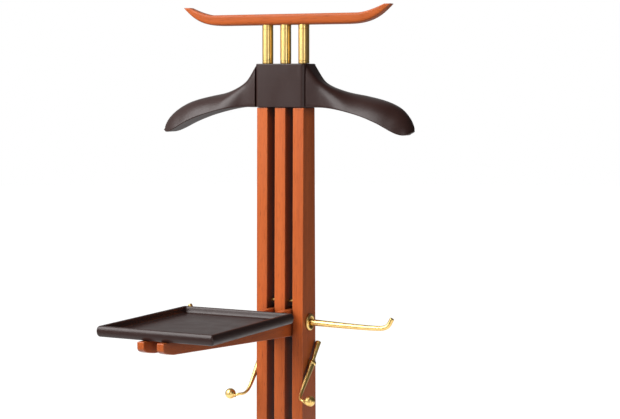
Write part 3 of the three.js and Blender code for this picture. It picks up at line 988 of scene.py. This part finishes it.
@dataclass(frozen=True)
class FloorRubber(Finish):
    """Moulded black rubber, dusty towards the floor."""

    black: Colour = (0.020, 0.019, 0.018)
    dust: Colour = (0.16, 0.145, 0.125)

    slot = Slot.RUBBER

    def shade(self, sheet: Sheet, place: Socket, shader: bpy.types.Node) -> None:
        """Draws rubber and floor dust. See Finish.shade for Args."""
        smudge = Smudges.place(sheet, Vector=place, Size=140.0)
        height = sheet.add("SeparateXYZ", {0: place}).outputs[2]
        low = sheet.spread(height, 0.0, 4 * MM, 0.8, 0.15)
        dusty = sheet.times(low, smudge["Mask"])
        sheet.feed(shader.inputs["Base Color"], sheet.blend(dusty, self.black, self.dust))
        sheet.feed(shader.inputs["Roughness"], sheet.spread(smudge["Mask"], 0, 1, 0.55, 0.8))
        ripple = FilmRipple.place(sheet, Vector=place, Scale=900.0)
        self.bump(sheet, shader, ripple["Height"], 0.06)


# ------------------------------------------------------------------------------ fitting


@dataclass(frozen=True)
class Extent:
    """The room that a node takes up, in millimetres in the stand's own frame."""

    low: Vector
    high: Vector

    @classmethod
    def of(cls, node: str) -> "Extent":
        """Returns the room of a node of the frame."""
        back = Vector((0, POST_Y, 0))
        low, high = ((corner - back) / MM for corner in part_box(node))
        return cls(low, high)

    @property
    def middle(self) -> Vector:
        """The room's centre."""
        return (self.low + self.high) / 2

    @property
    def size(self) -> Vector:
        """The room's full size."""
        return self.high - self.low

    @property
    def left_end(self) -> Vector:
        """The middle of the room's left face."""
        return Vector((self.low.x, self.middle.y, self.middle.z))

    @property
    def foot(self) -> Vector:
        """The middle of the room's lowest face."""
        return Vector((self.middle.x, self.middle.y, self.low.z))


def stacked(room: Extent, levels: Sequence[tuple[float, float, float]], steps: int) -> Shape:
    """Stacks rounded rectangles inside a room.

    Args:
        room: the room
        levels: each one's inset from the room's sides, its height and its corners' radius
        steps: how many steps each corner takes

    Returns:
        the shape that they bound
    """
    size, middle = room.size, room.middle
    rings = []
    for inset, z, radius in levels:
        ring = rounded_ring(size.x - 2 * inset, size.y - 2 * inset, radius, steps)
        rings.append([Vector((middle.x + x, middle.y + y, z)) for x, y in ring])
    return Shape().loft(rings)


def fit(shape: Shape, node: str, finish: Finish, body: Body = Body.STAND,
        crisp: float = 32) -> bpy.types.Object:
    """Finishes a shape as the piece that stands for a node of the frame.

    Args:
        shape: the shape, in millimetres
        node: the node that it stands for
        finish: its finish
        body: the body that it rides on
        crisp: the angle in degrees above which an edge stays crisp

    Returns:
        the fitted piece
    """
    piece = shape.finished(f"{node}_finished", crisp)
    piece.data.materials.append(finish.material())
    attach(piece, body.value)
    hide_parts(node)
    log.info("%s: %d faces, rides on %s", piece.name, len(piece.data.polygons), body.value)
    return piece


def keep(node: str, finish: Finish) -> None:
    """Keeps a node of the frame as it is, with a finish of its own."""
    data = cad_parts[node].data
    data.materials.clear()
    data.materials.append(finish.material())
    log.info("%s: kept from the frame", node)


# ------------------------------------------------------------------------------ sub-assemblies


@dataclass
class Post:
    """Three tapered slats with the rods that tie them."""

    shoulder_top: float = 1011.2
    shoulder_foot: float = 62.3
    top_depth: float = 40.6
    foot_depth: float = 57.0
    thickness: float = 20.0
    tenon: float = 13.0
    tenon_top_depth: float = 30.0
    tenon_foot_depth: float = 40.0
    edge: float = 1.3
    clearance: float = 0.3
    chamfer: float = 0.5

    rods: ClassVar[tuple[str, ...]] = (
        "tie_rod_upper", "arm_pin_front", "arm_pin_rear", "tie_rod_lower"
    )

    def slat(self, side: Side) -> Shape:
        """Returns a slat with a tenon at each end, drilled for its rods."""
        room = Extent.of(f"slat_{side.word}")
        x = room.middle.x
        levels = [
            (room.low.z, self.tenon, self.tenon_foot_depth),
            (self.shoulder_foot, self.tenon, self.tenon_foot_depth),
            (self.shoulder_foot, self.thickness, self.foot_depth),
            (self.shoulder_top, self.thickness, self.top_depth),
            (self.shoulder_top, self.tenon, self.tenon_top_depth),
            (room.high.z, self.tenon, self.tenon_top_depth),
        ]
        rings = []
        for z, wide, deep in levels:
            corners = ((-1, -1), (1, -1), (1, 1), (-1, 1))
            rings.append([Vector((x + a * wide / 2, b * deep / 2, z)) for a, b in corners])
        shape = Shape().loft(rings).ease_edges(self.edge, 3)
        for node in self.rods:
            rod = Extent.of(node)
            reach = Along.X.unit * (rod.size.x / 2 + self.clearance)
            radius = rod.size.z / 2 + self.clearance
            shape.drilled(rod.middle - reach, rod.middle + reach, radius)
        return shape

    def tie_rod(self, node: str) -> Shape:
        """Returns a tie rod with a small chamfer at both ends."""
        room = Extent.of(node)
        radius, length, cut = room.size.z / 2, room.size.x, self.chamfer
        profile = [(0, 0), (radius - cut, 0), (radius, cut), (radius, length - cut)]
        profile += [(radius - cut, length), (0, length)]
        return Shape().turn(profile, room.left_end, Along.X.unit, 40)

    def make(self) -> None:
        """Makes and fits the slats and their rods."""
        tones = {Side.LEFT: 1.02, Side.MIDDLE: 1.05, Side.RIGHT: 1.05}
        for side, tone in tones.items():
            finish = Mahogany(Along.Z, shift=0.37 * side.value + 0.11, tone=tone)
            fit(self.slat(side), f"slat_{side.word}", finish)
        for node in self.rods:
            fit(self.tie_rod(node), node, Brass(Along.X))


@dataclass
class Hanger:
    """The block on top of the post and its two shoulders."""

    corner: float = 9.0
    block_edge: float = 1.7
    root_half_depth: float = 21.5
    waist_half_depth: float = 17.5
    middle_half_depth: float = 24.0
    tip_half_depth: float = 17.0
    forward: float = 8.0
    lean: float = 16.0
    lower_lip: float = 0.13
    nose_from: float = 0.82
    samples: int = 400
    steps: int = 64
    sides: int = 44

    ridge: ClassVar[tuple] = (
        (47.3, 1081.5), (50.5, 1077), (56, 1069), (62, 1061.3), (69, 1054.3), (79, 1048),
        (93, 1042), (114, 1035.6), (145, 1029.8), (171, 1024), (191, 1017.2), (208, 1007.7),
        (222, 994.5), (229.5, 982), (231, 974.5),
    )
    underside: ClassVar[tuple] = (
        (47.3, 1011.5), (76, 1011.3), (102, 1008.3), (127, 1003), (152, 996),
        (177, 986.3), (199, 975), (211, 969.8), (221, 968.4), (228.5, 971.5),
    )

    def block(self) -> Shape:
        """Returns the block, with round upright corners and softened top and foot."""
        room, edge = Extent.of("hanger_block"), self.block_edge
        turns = [math.pi / 2 * i / 5 for i in range(6)]
        foot = [(edge * (1 - math.sin(a)), edge * (1 - math.cos(a))) for a in turns]
        levels = [(inset, room.low.z + rise) for inset, rise in foot]
        levels += [(inset, room.high.z - rise) for inset, rise in reversed(foot)]
        return stacked(room, [(i, z, self.corner - 0.6 * i) for i, z in levels], 12)

    def half_depth(self, out: float) -> float:
        """Returns half of a shoulder's depth at a share of the way out to its nose."""
        body = mix(self.root_half_depth, self.waist_half_depth, ease(out, -0.05, 0.17))
        body = mix(body, self.middle_half_depth, ease(out, 0.13, 0.38))
        body = mix(body, self.tip_half_depth, ease(out, 0.6, 1))
        if out > self.nose_from:
            share = (out - self.nose_from) / (1 - self.nose_from)
            body *= math.sqrt(max(0.12, 1 - share**2))
        return body

    def shoulder(self) -> Shape:
        """Returns the right shoulder: flat below, domed above, nearly square at the block."""
        lines = [[Vector((x, 0, z)) for x, z in line] for line in (self.underside, self.ridge)]
        sole, crest = (smooth_through(line, self.samples) for line in lines)
        lip, rings = self.lower_lip, []
        for step in range(self.steps + 1):
            out = math.sin(math.pi / 2 * step / self.steps) ** 1.15
            index = round(out * (self.samples - 1))
            power = mix(0.32, 0.86, ease(out, 0.02, 0.42))
            middle = -self.forward * ease(out, 0.35, 1)
            lean = self.lean * (ease(out, 0.15, 0.5) - 0.5 * ease(out, 0.75, 1))
            ring = []
            for j in range(self.sides):
                angle = 2 * math.pi * (j + 0.5) / self.sides
                across = signed_power(math.cos(angle), power)
                lift = abs(math.sin(angle)) ** power
                if math.sin(angle) < 0:
                    across = signed_power(math.cos(angle), 0.3)
                    height = lip * (1 - min(1.0, 1.6 * abs(math.sin(angle))) ** 0.6)
                else:
                    height = lip + (1 - lip) * lift
                spine = sole[index].lerp(crest[index], height)
                y = middle + lean * height + self.half_depth(out) * across
                ring.append(Vector((spine.x, y, spine.z)))
            rings.append(ring)
        return Shape().loft(rings)

    def make(self) -> None:
        """Makes and fits the block and the shoulders, and finishes their dowels."""
        fit(self.block(), "hanger_block", DarkBrown(Along.X, shift=0.2))
        for side in PAIR:
            finish = DarkBrown(Along.X, shift=0.5 + 0.3 * side.value)
            fit(self.shoulder().on(side), f"shoulder_{side.word}", finish, crisp=50)
            for level in ("lower", "upper"):
                keep(f"dowel_{level}_{side.word}", BeechDowel(Along.X))


@dataclass
class TopBar:
    """The curved bar and the three brass rods that carry it."""

    half_depth: float = 13.0
    bottom: float = 1146.5
    top: float = 1164.5
    tip_top: float = 1177.8
    steps: int = 84
    sides: int = 48
    rod_radius: float = 9.1
    groove: float = 0.45
    lower_groove: float = 4.6
    upper_groove: float = 6.6
    bore: float = 4.3
    bore_top: float = 1115.0

    def bar(self) -> Shape:
        """Returns the bar: flat in the middle, sweeping up to two narrow ends."""
        room = Extent.of("top_bar")
        half = room.size.x / 2
        rings = []
        for step in range(self.steps + 1):
            x = half * math.sin(math.pi / 2 * (2 * step / self.steps - 1))
            out = abs(x) / half
            top = mix(self.top, self.tip_top, min(1.0, max(0.0, (out - 0.7) / 0.245)) ** 1.6)
            bottom = mix(self.bottom, self.tip_top - 1, max(0.0, (out - 0.55) / 0.45) ** 3.1)
            deep = self.half_depth * (1 - 0.45 * out**4)
            ring = []
            for j in range(self.sides):
                angle = 2 * math.pi * (j + 0.5) / self.sides
                squareness = 0.3 if math.sin(angle) > 0 else 0.5
                across = signed_power(math.cos(angle), squareness)
                lift = signed_power(math.sin(angle), squareness)
                z = (top + bottom) / 2 + (top - bottom) / 2 * lift
                ring.append(Vector((x, deep * across, z)))
            rings.append(ring)
        return Shape().loft(rings)

    def rod(self, side: Side) -> Shape:
        """Returns a rod with a fine groove near each end and a bore for its stud."""
        room = Extent.of(f"brass_rod_{side.word}")
        radius, low, length = self.rod_radius, room.low.z, room.size.z
        bore, top = self.bore, self.bore_top - low
        profile = [(0, top), (bore, top - 1), (bore, 0), (radius - 0.5, 0), (radius, 0.5)]
        for height in (self.lower_groove, self.bottom - low - self.upper_groove):
            profile += [(radius, height - 0.5), (radius - self.groove, height - 0.15)]
            profile += [(radius - self.groove, height + 0.15), (radius, height + 0.5)]
        profile += [(radius, length - 0.5), (radius - 0.5, length), (0, length)]
        return Shape().turn(profile, room.foot, Along.Z.unit, 72)

    def make(self) -> None:
        """Makes and fits the bar and its rods, and finishes their studs."""
        fit(self.bar(), "top_bar", Mahogany(Along.X, shift=0.83, tone=0.88, polish=0.14), crisp=60)
        for side in Side:
            fit(self.rod(side), f"brass_rod_{side.word}", Brass(Along.Z, 0.1 * side.value))
            keep(f"rod_stud_{side.word}", ZincSteel(Along.Z))


@dataclass
class Tray:
    """The tray and the two arms that carry it."""

    corner: float = 4.0
    inner_corner: float = 2.6
    screw_hole: float = 3.5
    arm_edge: float = 1.4
    arm_heel: float = -20.0
    arm_drop: float = 26.2
    nose_height: float = 9.0
    nose_length: float = 30.0
    seat: float = 668.0
    screw_places: tuple[float, float] = (-370.0, -205.0)

    skin: ClassVar[tuple] = (
        (5.4, 0.0), (3.4, 0.35), (1.9, 1.6), (0.8, 3.6), (0.2, 6.0), (0.0, 8.4), (0.15, 10.8),
        (0.7, 13.0), (1.7, 14.9), (2.9, 16.0), (4.2, 16.45), (5.4, 16.5), (6.6, 16.3),
        (7.6, 15.6), (8.2, 14.5), (8.6, 13.0), (9.2, 10.4), (9.9, 8.2), (11.0, 6.9),
        (12.6, 6.2), (14.6, 6.0),
    )

    def tray(self) -> Shape:
        """Returns the tray: rolled outer sides, a narrow rim and a coved floor."""
        room = Extent.of("tray")
        radii = [max(self.inner_corner, self.corner - 0.5 * inset) for inset, _ in self.skin]
        levels = [(i, room.low.z + rise, r) for (i, rise), r in zip(self.skin, radii)]
        return stacked(room, levels, 10)

    def arm(self) -> Shape:
        """Returns the right arm: level on top, deep at the post and shallow in front."""
        room = Extent.of("tray_arm_right")
        front, back = room.low.y, room.high.y
        foot, top = room.low.z, room.high.z
        nose = foot + self.arm_drop
        slope = (foot - nose) / (self.arm_heel - front)
        rise, run = self.nose_height, self.nose_length
        outline = [(back, top), (front, top), (front, nose + rise)]
        handles = ((front + 0.5, nose + 3.5), (front + 9, nose + 1.2))
        outline += bezier(outline[-1], *handles, (front + run, nose + slope * run), 10)
        outline += [(self.arm_heel, foot), (back, foot)]
        shape = Shape().prism(outline, Along.X, room.low.x, room.high.x)
        shape.ease_edges(self.arm_edge, 3, 50)
        x = room.middle.x
        for y in self.screw_places:
            shape.drilled(Vector((x, y, foot - 5)), Vector((x, y, self.seat)), self.screw_hole)
        return shape

    def screw(self, node: str) -> Shape:
        """Returns a tray screw with a domed head and a hexagon socket."""
        room = Extent.of(node)
        length = room.size.z
        profile = [(0, 1.3), (1.5, 1.3, 6), (1.5, 0.0, 6), (2.6, 0.0), (3.1, 0.6), (3.2, 1.4)]
        profile += [(3.2, 2.5), (1.7, 2.5), (1.7, length - 1), (0.3, length), (0, length)]
        return Shape().turn(profile, room.foot, Along.Z.unit)

    def make(self) -> None:
        """Makes and fits the tray, its arms and its screws."""
        fit(self.tray(), "tray", DarkBrown(Along.X, shift=0.9), crisp=40)
        for side in PAIR:
            finish = Mahogany(Along.Y, shift=0.6 + 0.2 * side.value, tone=0.92)
            fit(self.arm().on(side), f"tray_arm_{side.word}", finish)
            for place in ("front", "back"):
                node = f"tray_screw_{place}_{side.word}"
                fit(self.screw(node), node, ZincSteel(Along.Z))


@dataclass
class LongHooks:
    """The two long fixed hooks and their rosettes."""

    root_radius: float = 5.5
    tip_radius: float = 3.8
    shank_radius: float = 3.0
    roll: float = 3.1
    samples: int = 72

    path: ClassVar[tuple] = (
        (43.8, 0, 0), (86, 0.4, -1.4), (126, 1.2, -2.4), (160, 2.6, -2.8), (176, 4, -1.8),
        (184.5, 5.2, 2.8), (190.4, 6.3, 13.5),
    )

    def rosette(self) -> Shape:
        """Returns the right rosette: a rolled ring round a sunk recess."""
        room = Extent.of("rosette_right")
        radius, proud = room.size.z / 2, room.size.x
        ring = [(radius - 0.3, 0.0), (radius, 0.4), (radius, 1.2)]
        for step in range(1, 16):
            angle = math.pi * step / 16
            out = radius - self.roll + self.roll * math.cos(angle)
            ring.append((out, 1.2 + (proud - 1.2) * math.sin(angle)))
        ring += [(radius - 6.3, 1.3), (radius - 6.7, 1.0), (6.6, 1.0), (6.2, 1.5), (5.6, 1.5)]
        ring += [(5.6, 0.0)]
        return Shape().turn(ring, room.left_end, Along.X.unit, 72, hoop=True)

    def hook(self) -> Shape:
        """Returns the right hook, with its shank and a softened end."""
        room = Extent.of("long_hook_right")
        z = Extent.of("rosette_right").middle.z
        count = self.samples
        run = smooth_through([Vector((x, y, z + rise)) for x, y, rise in self.path], count)
        radii = [mix(self.root_radius, self.tip_radius, i / (count - 1)) for i in range(count)]
        end, ahead = run[-1], (run[-1] - run[-2]).normalized()
        for share in (0.35, 0.7, 0.92, 1.0):
            run.append(end + ahead * 1.6 * share)
            radii.append(self.tip_radius * math.sqrt(max(0.02, 1 - share**2.6)))
        start = [Vector((room.low.x, 0, z)), Vector((self.path[0][0] - 0.05, 0, z))]
        return Shape().sweep(start + run, [self.shank_radius] * 2 + radii, 36)

    def make(self) -> None:
        """Makes and fits both hooks and rosettes."""
        for side in PAIR:
            fit(self.rosette().on(side), f"rosette_{side.word}", Brass(Along.X, 0.3))
            fit(self.hook().on(side), f"long_hook_{side.word}", Brass(Along.X), crisp=60)


@dataclass
class SwingHooks:
    """The two hooks that swing on a pin, each with a knuckle, two arms and a ball."""

    across: float = 49.0
    knuckle: float = 6.0
    ball_radius: float = 8.7
    flat: float = 45.3
    wire: float = 2.3
    root: float = 5.2
    flare_foot: float = 2.8
    flare_end: float = 4.8
    head: float = 4.0
    pin_radius: float = 2.5
    head_seat: float = 3.2
    washer_bore: float = 2.8
    clearance: float = 0.3
    samples: int = 64
    upper_reach: ClassVar[Vector] = Vector((0, 22.5, 32.5))
    bends: ClassVar[tuple] = (
        (0, -20, -22), (0, -39, -42.5), (3, -50, -50), (10.5, -56.8, -51.6),
    )
    wire_run: ClassVar[Vector] = Vector((0.97, 0, 0.24)).normalized()

    def centre(self) -> Vector:
        """Returns the middle of the right knuckle, on the pin's line."""
        pin = Extent.of("pivot_pin_right")
        return Vector((self.across, pin.middle.y, pin.middle.z))

    def hook(self) -> Shape:
        """Returns the right hook without its ball."""
        pivot, ball = self.centre(), Extent.of("hook_ball_right").middle
        shape = Shape()
        bmesh.ops.create_uvsphere(shape.mesh, u_segments=40, v_segments=24, radius=self.knuckle)
        bmesh.ops.translate(shape.mesh, vec=pivot, verts=shape.mesh.verts)
        upper_end = pivot + self.upper_reach
        shares = [i / 14 for i in range(15)]
        path = [pivot.lerp(upper_end, share) for share in shares]
        radii = [mix(self.flare_foot, self.flare_end, share**1.4) for share in shares]
        path.append(upper_end + (upper_end - pivot).normalized() * 0.5)
        radii.append(self.flare_end - 0.5)
        shape.with_shape(Shape().sweep(path, radii, 32), Joint.WELD)
        wire_end = ball - self.wire_run * 3
        corners = [pivot, *(pivot + Vector(bend) for bend in self.bends)]
        corners += [wire_end - self.wire_run * 5, wire_end]
        run = smooth_through(corners, self.samples)
        shares = [i / (self.samples - 1) for i in range(self.samples)]
        radii = [mix(self.root, self.wire, min(1, share / 0.72)) for share in shares]
        shape.with_shape(Shape().sweep(run, radii, 32), Joint.WELD)
        room = (pivot.z - 40, pivot.z + 60)
        slab = [(0, room[0]), (self.flat, room[0]), (self.flat, room[1]), (0, room[1])]
        shape.with_shape(Shape().prism(slab, Along.Y, -40, 40), Joint.CUT)
        across = Along.X.unit
        near, seat, far = (pivot + across * reach for reach in (-12, self.head_seat, 12))
        shape.drilled(near, far, self.pin_radius + self.clearance)
        return shape.drilled(seat, far, self.head + self.clearance)

    def ball(self) -> Shape:
        """Returns the right ball with the small collar that the wire enters."""
        room = Extent.of("hook_ball_right")
        radius, centre = self.ball_radius, room.middle
        collar, neck = 3.5, self.wire + 0.2
        profile = [(neck, -radius - 1.5), (collar - 0.4, -radius - 1.5), (collar, -radius - 1.1)]
        profile += [(collar, -radius - 0.5), (collar - 0.5, -radius + 0.1)]
        start = math.asin((collar - 0.5) / radius)
        for step in range(1, 33):
            angle = mix(start, math.pi, step / 32)
            profile.append((radius * math.sin(angle), -radius * math.cos(angle)))
        profile[-1] = (0, radius)
        profile = [(0, -2.4), (neck, -2.4)] + profile
        return Shape().turn(profile, centre, self.wire_run, 56)

    def pin(self) -> Shape:
        """Returns the right pin with its domed head."""
        room = Extent.of("pivot_pin_right")
        length = room.size.x
        seat, radius = length - 3, self.pin_radius
        profile = [(0, 0), (radius - 0.4, 0), (radius, 0.4), (radius, seat), (self.head, seat)]
        for step in range(1, 10):
            angle = math.pi / 2 * step / 9
            profile.append((self.head * math.cos(angle), seat + 0.6 + 2.4 * math.sin(angle)))
        profile[-1] = (0, length)
        return Shape().turn(profile, room.left_end, Along.X.unit, 40)

    def washer(self) -> Shape:
        """Returns the right washer."""
        room = Extent.of("pivot_washer_right")
        outer, thick, bore = room.size.z / 2, room.size.x, self.washer_bore
        profile = [(bore, 0), (outer - 0.25, 0), (outer, 0.25), (outer, thick - 0.25)]
        profile += [(outer - 0.25, thick), (bore, thick)]
        return Shape().turn(profile, room.left_end, Along.X.unit, 56, hoop=True)

    def make(self) -> None:
        """Makes and fits both hooks with their balls, pins and washers."""
        for side, body in zip(PAIR, (Body.RIGHT_HOOK, Body.LEFT_HOOK)):
            fit(self.hook().on(side), f"swing_hook_{side.word}", Brass(Along.Z, 0.4), body)
            fit(self.ball().on(side), f"hook_ball_{side.word}", Brass(Along.X, 0.7), body)
            fit(self.pin().on(side), f"pivot_pin_{side.word}", Brass(Along.X, 0.5))
            fit(self.washer().on(side), f"pivot_washer_{side.word}", Brass(Along.X, 0.6))


@dataclass
class Base:
    """The cross beam, the two arched runner feet and what bolts them together."""

    beam_edge: float = 3.0
    runner_edge: float = 3.2
    sole: float = 5.3
    tip: float = 17.0
    arch: float = 27.0
    pad: float = 42.0
    crown: float = 44.0

    def beam(self) -> Shape:
        """Returns the cross beam."""
        room = Extent.of("cross_beam")
        low, high = room.low, room.high
        outline = [(low.y, low.z), (high.y, low.z), (high.y, high.z), (low.y, high.z)]
        return Shape().prism(outline, Along.X, low.x, high.x).ease_edges(self.beam_edge, 4)

    def runner(self) -> Shape:
        """Returns the right runner foot."""
        room = Extent.of("runner_foot_right")
        front, back, top = room.low.y, room.high.y, room.high.z
        sole, tip, arch, crown = self.sole, self.tip, self.arch, self.crown
        heel, toe = back - self.pad, front + self.pad
        outline = [(front, sole), (toe, sole)]
        outline += bezier((toe, sole), (toe + 50, sole + 2), (-90, arch), (-20, arch))
        outline += bezier((-20, arch), (50, arch), (heel - 40, sole + 2), (heel, sole))
        outline += [(back, sole), (back, tip)]
        outline += bezier((back, tip), (back - 40, tip + 10), (crown + 50, top), (crown, top))
        outline += bezier((crown, top), (10, top), (-10, top), (-crown, top), 3)
        outline += bezier(
            (-crown, top), (-crown - 60, top), (front + 55, tip + 14), (front, tip)
        )[:-1]
        outline += [(front, tip)]
        shape = Shape().prism(outline, Along.X, room.low.x, room.high.x)
        return shape.ease_edges(self.runner_edge, 4, 40)

    def bolt(self, node: str) -> Shape:
        """Returns a bolt with a domed head and a hexagon socket, for the right side."""
        room = Extent.of(node)
        length, head = room.size.x, room.size.z / 2
        seat = length - 3
        profile = [(0, 0), (2.5, 0), (3, 0.5), (3, seat), (head - 0.2, seat), (head, seat + 0.3)]
        profile += [(head, seat + 0.9), (head - 0.8, seat + 1.8), (head - 2, seat + 2.6)]
        profile += [(head - 3.3, length), (2.4, length, 6), (2.4, seat + 0.6, 6), (0, seat + 0.6)]
        return Shape().turn(profile, room.left_end, Along.X.unit, 48)

    def glide(self, node: str) -> Shape:
        """Returns a glide with a rolled rim and its nail."""
        room = Extent.of(node)
        radius, foot = room.size.x / 2, Vector((room.middle.x, room.middle.y, 0))
        profile = [(0, 0), (radius - 2.4, 0), (radius - 1.2, 0.4), (radius - 0.4, 1.3)]
        profile += [(radius, 2.4), (radius, 4.4), (radius - 0.5, 5), (1.5, 5), (1.5, 15), (0, 17)]
        return Shape().turn(profile, foot, Along.Z.unit, 56)

    def make(self) -> None:
        """Makes and fits the base, and finishes the slats' screws."""
        fit(self.beam(), "cross_beam", DarkBrown(Along.X, shift=1.4))
        for side in PAIR:
            finish = Mahogany(Along.Y, shift=1.7 + 0.4 * side.value, tone=0.95)
            fit(self.runner().on(side), f"runner_foot_{side.word}", finish)
            for place in ("front", "back"):
                bolt = f"foot_bolt_{place}"
                shape = self.bolt(f"{bolt}_right").on(side)
                fit(shape, f"{bolt}_{side.word}", Brass(Along.X, 0.8))
                node = f"glide_{place}_{side.word}"
                fit(self.glide(node), node, FloorRubber())
        for side in Side:
            keep(f"slat_screw_{side.word}", ZincSteel(Along.Z))


# ------------------------------------------------------------------------------ studio


@dataclass(frozen=True)
class SoftBox:
    """A soft light that hangs round the stand and faces it."""

    name: str
    azimuth: float
    elevation: float
    distance: float
    width: float
    height: float
    power: float
    colour: Colour = (1.0, 1.0, 1.0)
    target: float = 0.95

    def hang(self) -> None:
        """Hangs the light."""
        light = bpy.data.lights.new(self.name, "AREA")
        light.shape, light.size, light.size_y = "RECTANGLE", self.width, self.height
        light.energy, light.color = self.power, self.colour
        lamp = set_out(self.name, light)
        turn, rise = math.radians(self.azimuth), math.radians(self.elevation)
        out = Vector((math.sin(turn) * math.cos(rise), -math.cos(turn) * math.cos(rise),
                      math.sin(rise)))
        lamp.location = Vector((0, POST_Y, self.target)) + out * self.distance
        lamp.rotation_mode = "QUATERNION"
        lamp.rotation_quaternion = out.to_track_quat("Z", "Y")


@dataclass
class Studio:
    """A pale floor, an even backdrop, soft lights and the camera."""

    floor_radius: float = 14.0
    azimuth: float = 26.902
    pitch: float = 4.505
    distance: float = 2718.0
    height: float = 1056.1
    sideways: float = 39.97
    lens: float = 95.35
    ambient: float = 0.12
    near_floor: float = 0.9

    lights: ClassVar[tuple[SoftBox, ...]] = (
        SoftBox("key light", -38, 35, 2.4, 2.2, 2.2, 92),
        SoftBox("front panel", 2, 12, 3.4, 1.3, 1.4, 4),
        SoftBox("front strip", 40, 5, 2.8, 0.30, 2.0, 11),
        SoftBox("right fill", 85, -8, 2.0, 0.8, 0.8, 7, (1.0, 0.95, 0.90), 0.25),
    )

    def floor(self) -> None:
        """Lays the floor: pale card that brightens evenly into the backdrop."""
        disc = Shape()
        bmesh.ops.create_circle(disc.mesh, cap_ends=True, segments=96, radius=self.floor_radius)
        floor = disc.poured("studio_floor")
        card = bpy.data.materials.new("pale card")
        sheet = Sheet.blank(card)
        place = sheet.add("TexCoord").outputs["Object"]
        away = sheet.vectors("LENGTH", place, output="Value")
        path = sheet.add("LightPath")
        glow = sheet.times(sheet.spread(away, 0.6, 2.6, 0.30, 1.0), path.outputs["Is Camera Ray"])
        near = sheet.spread(away, 1.0, 3.0, self.near_floor, 0.0)
        sheen = sheet.maths("MAXIMUM", RoomWalls.place(sheet, Vector=place)["Glow"], near)
        glow = sheet.plus(glow, sheet.times(sheen, path.outputs["Is Glossy Ray"]))
        tone = sheet.grey(sheet.spread(sheet.noise(place, 60.0), 0.3, 0.7, 0.34, 0.38))
        shader = sheet.add("BsdfPrincipled", {"Base Color": tone, "Roughness": 0.9})
        sheet.feed(shader.inputs["Emission Color"], sheet.grey(glow))
        shader.inputs["Emission Strength"].default_value = 1.0
        sheet.close(shader)
        floor.data.materials.append(card)

    def backdrop(self) -> None:
        """Sets a backdrop that looks white: a pale room in front and on the left, dim behind."""
        world = bpy.data.worlds.new("studio")
        sheet = Sheet.blank(world)
        path = sheet.add("LightPath")
        walls = RoomWalls.place(sheet, Vector=sheet.add("TexCoord").outputs["Generated"])
        room = sheet.times(walls["Glow"], path.outputs["Is Glossy Ray"])
        soft = sheet.times(path.outputs["Is Diffuse Ray"], self.ambient)
        light = sheet.plus(sheet.plus(room, soft), path.outputs["Is Camera Ray"])
        glow = sheet.add("Background", {"Color": sheet.grey(light), "Strength": 1.0})
        sheet.close(glow, "OutputWorld")
        bpy.context.scene.world = world

    def camera(self) -> None:
        """Sets the camera up in front of the stand, a little to its right."""
        data = bpy.data.cameras.new("camera")
        data.lens, data.sensor_width = self.lens, 36.0
        camera = set_out("camera", data)
        turn = math.radians(self.azimuth)
        across = Vector((math.cos(turn), math.sin(turn), 0)) * self.sideways
        back = Vector((math.sin(turn), -math.cos(turn), 0)) * self.distance
        place = (across + back) * MM
        camera.location = (place.x, place.y + POST_Y, self.height * MM)
        camera.rotation_euler = (math.radians(90 - self.pitch), 0, turn)
        bpy.context.scene.camera = camera

    def make(self) -> None:
        """Sets up the whole studio."""
        bpy.context.scene.view_settings.view_transform = "Standard"
        self.floor()
        self.backdrop()
        for light in self.lights:
            light.hang()
        self.camera()


def main() -> None:
    """Builds the stand from its sub-assemblies and sets it in the studio."""
    logging.basicConfig(level=logging.INFO, format="%(name)s: %(message)s")
    Studio().make()
    for assembly in (Base(), Post(), Hanger(), TopBar(), Tray(), LongHooks(), SwingHooks()):
        log.info("%s", type(assembly).__name__)
        assembly.make()


if __name__ == "__main__":
    main()
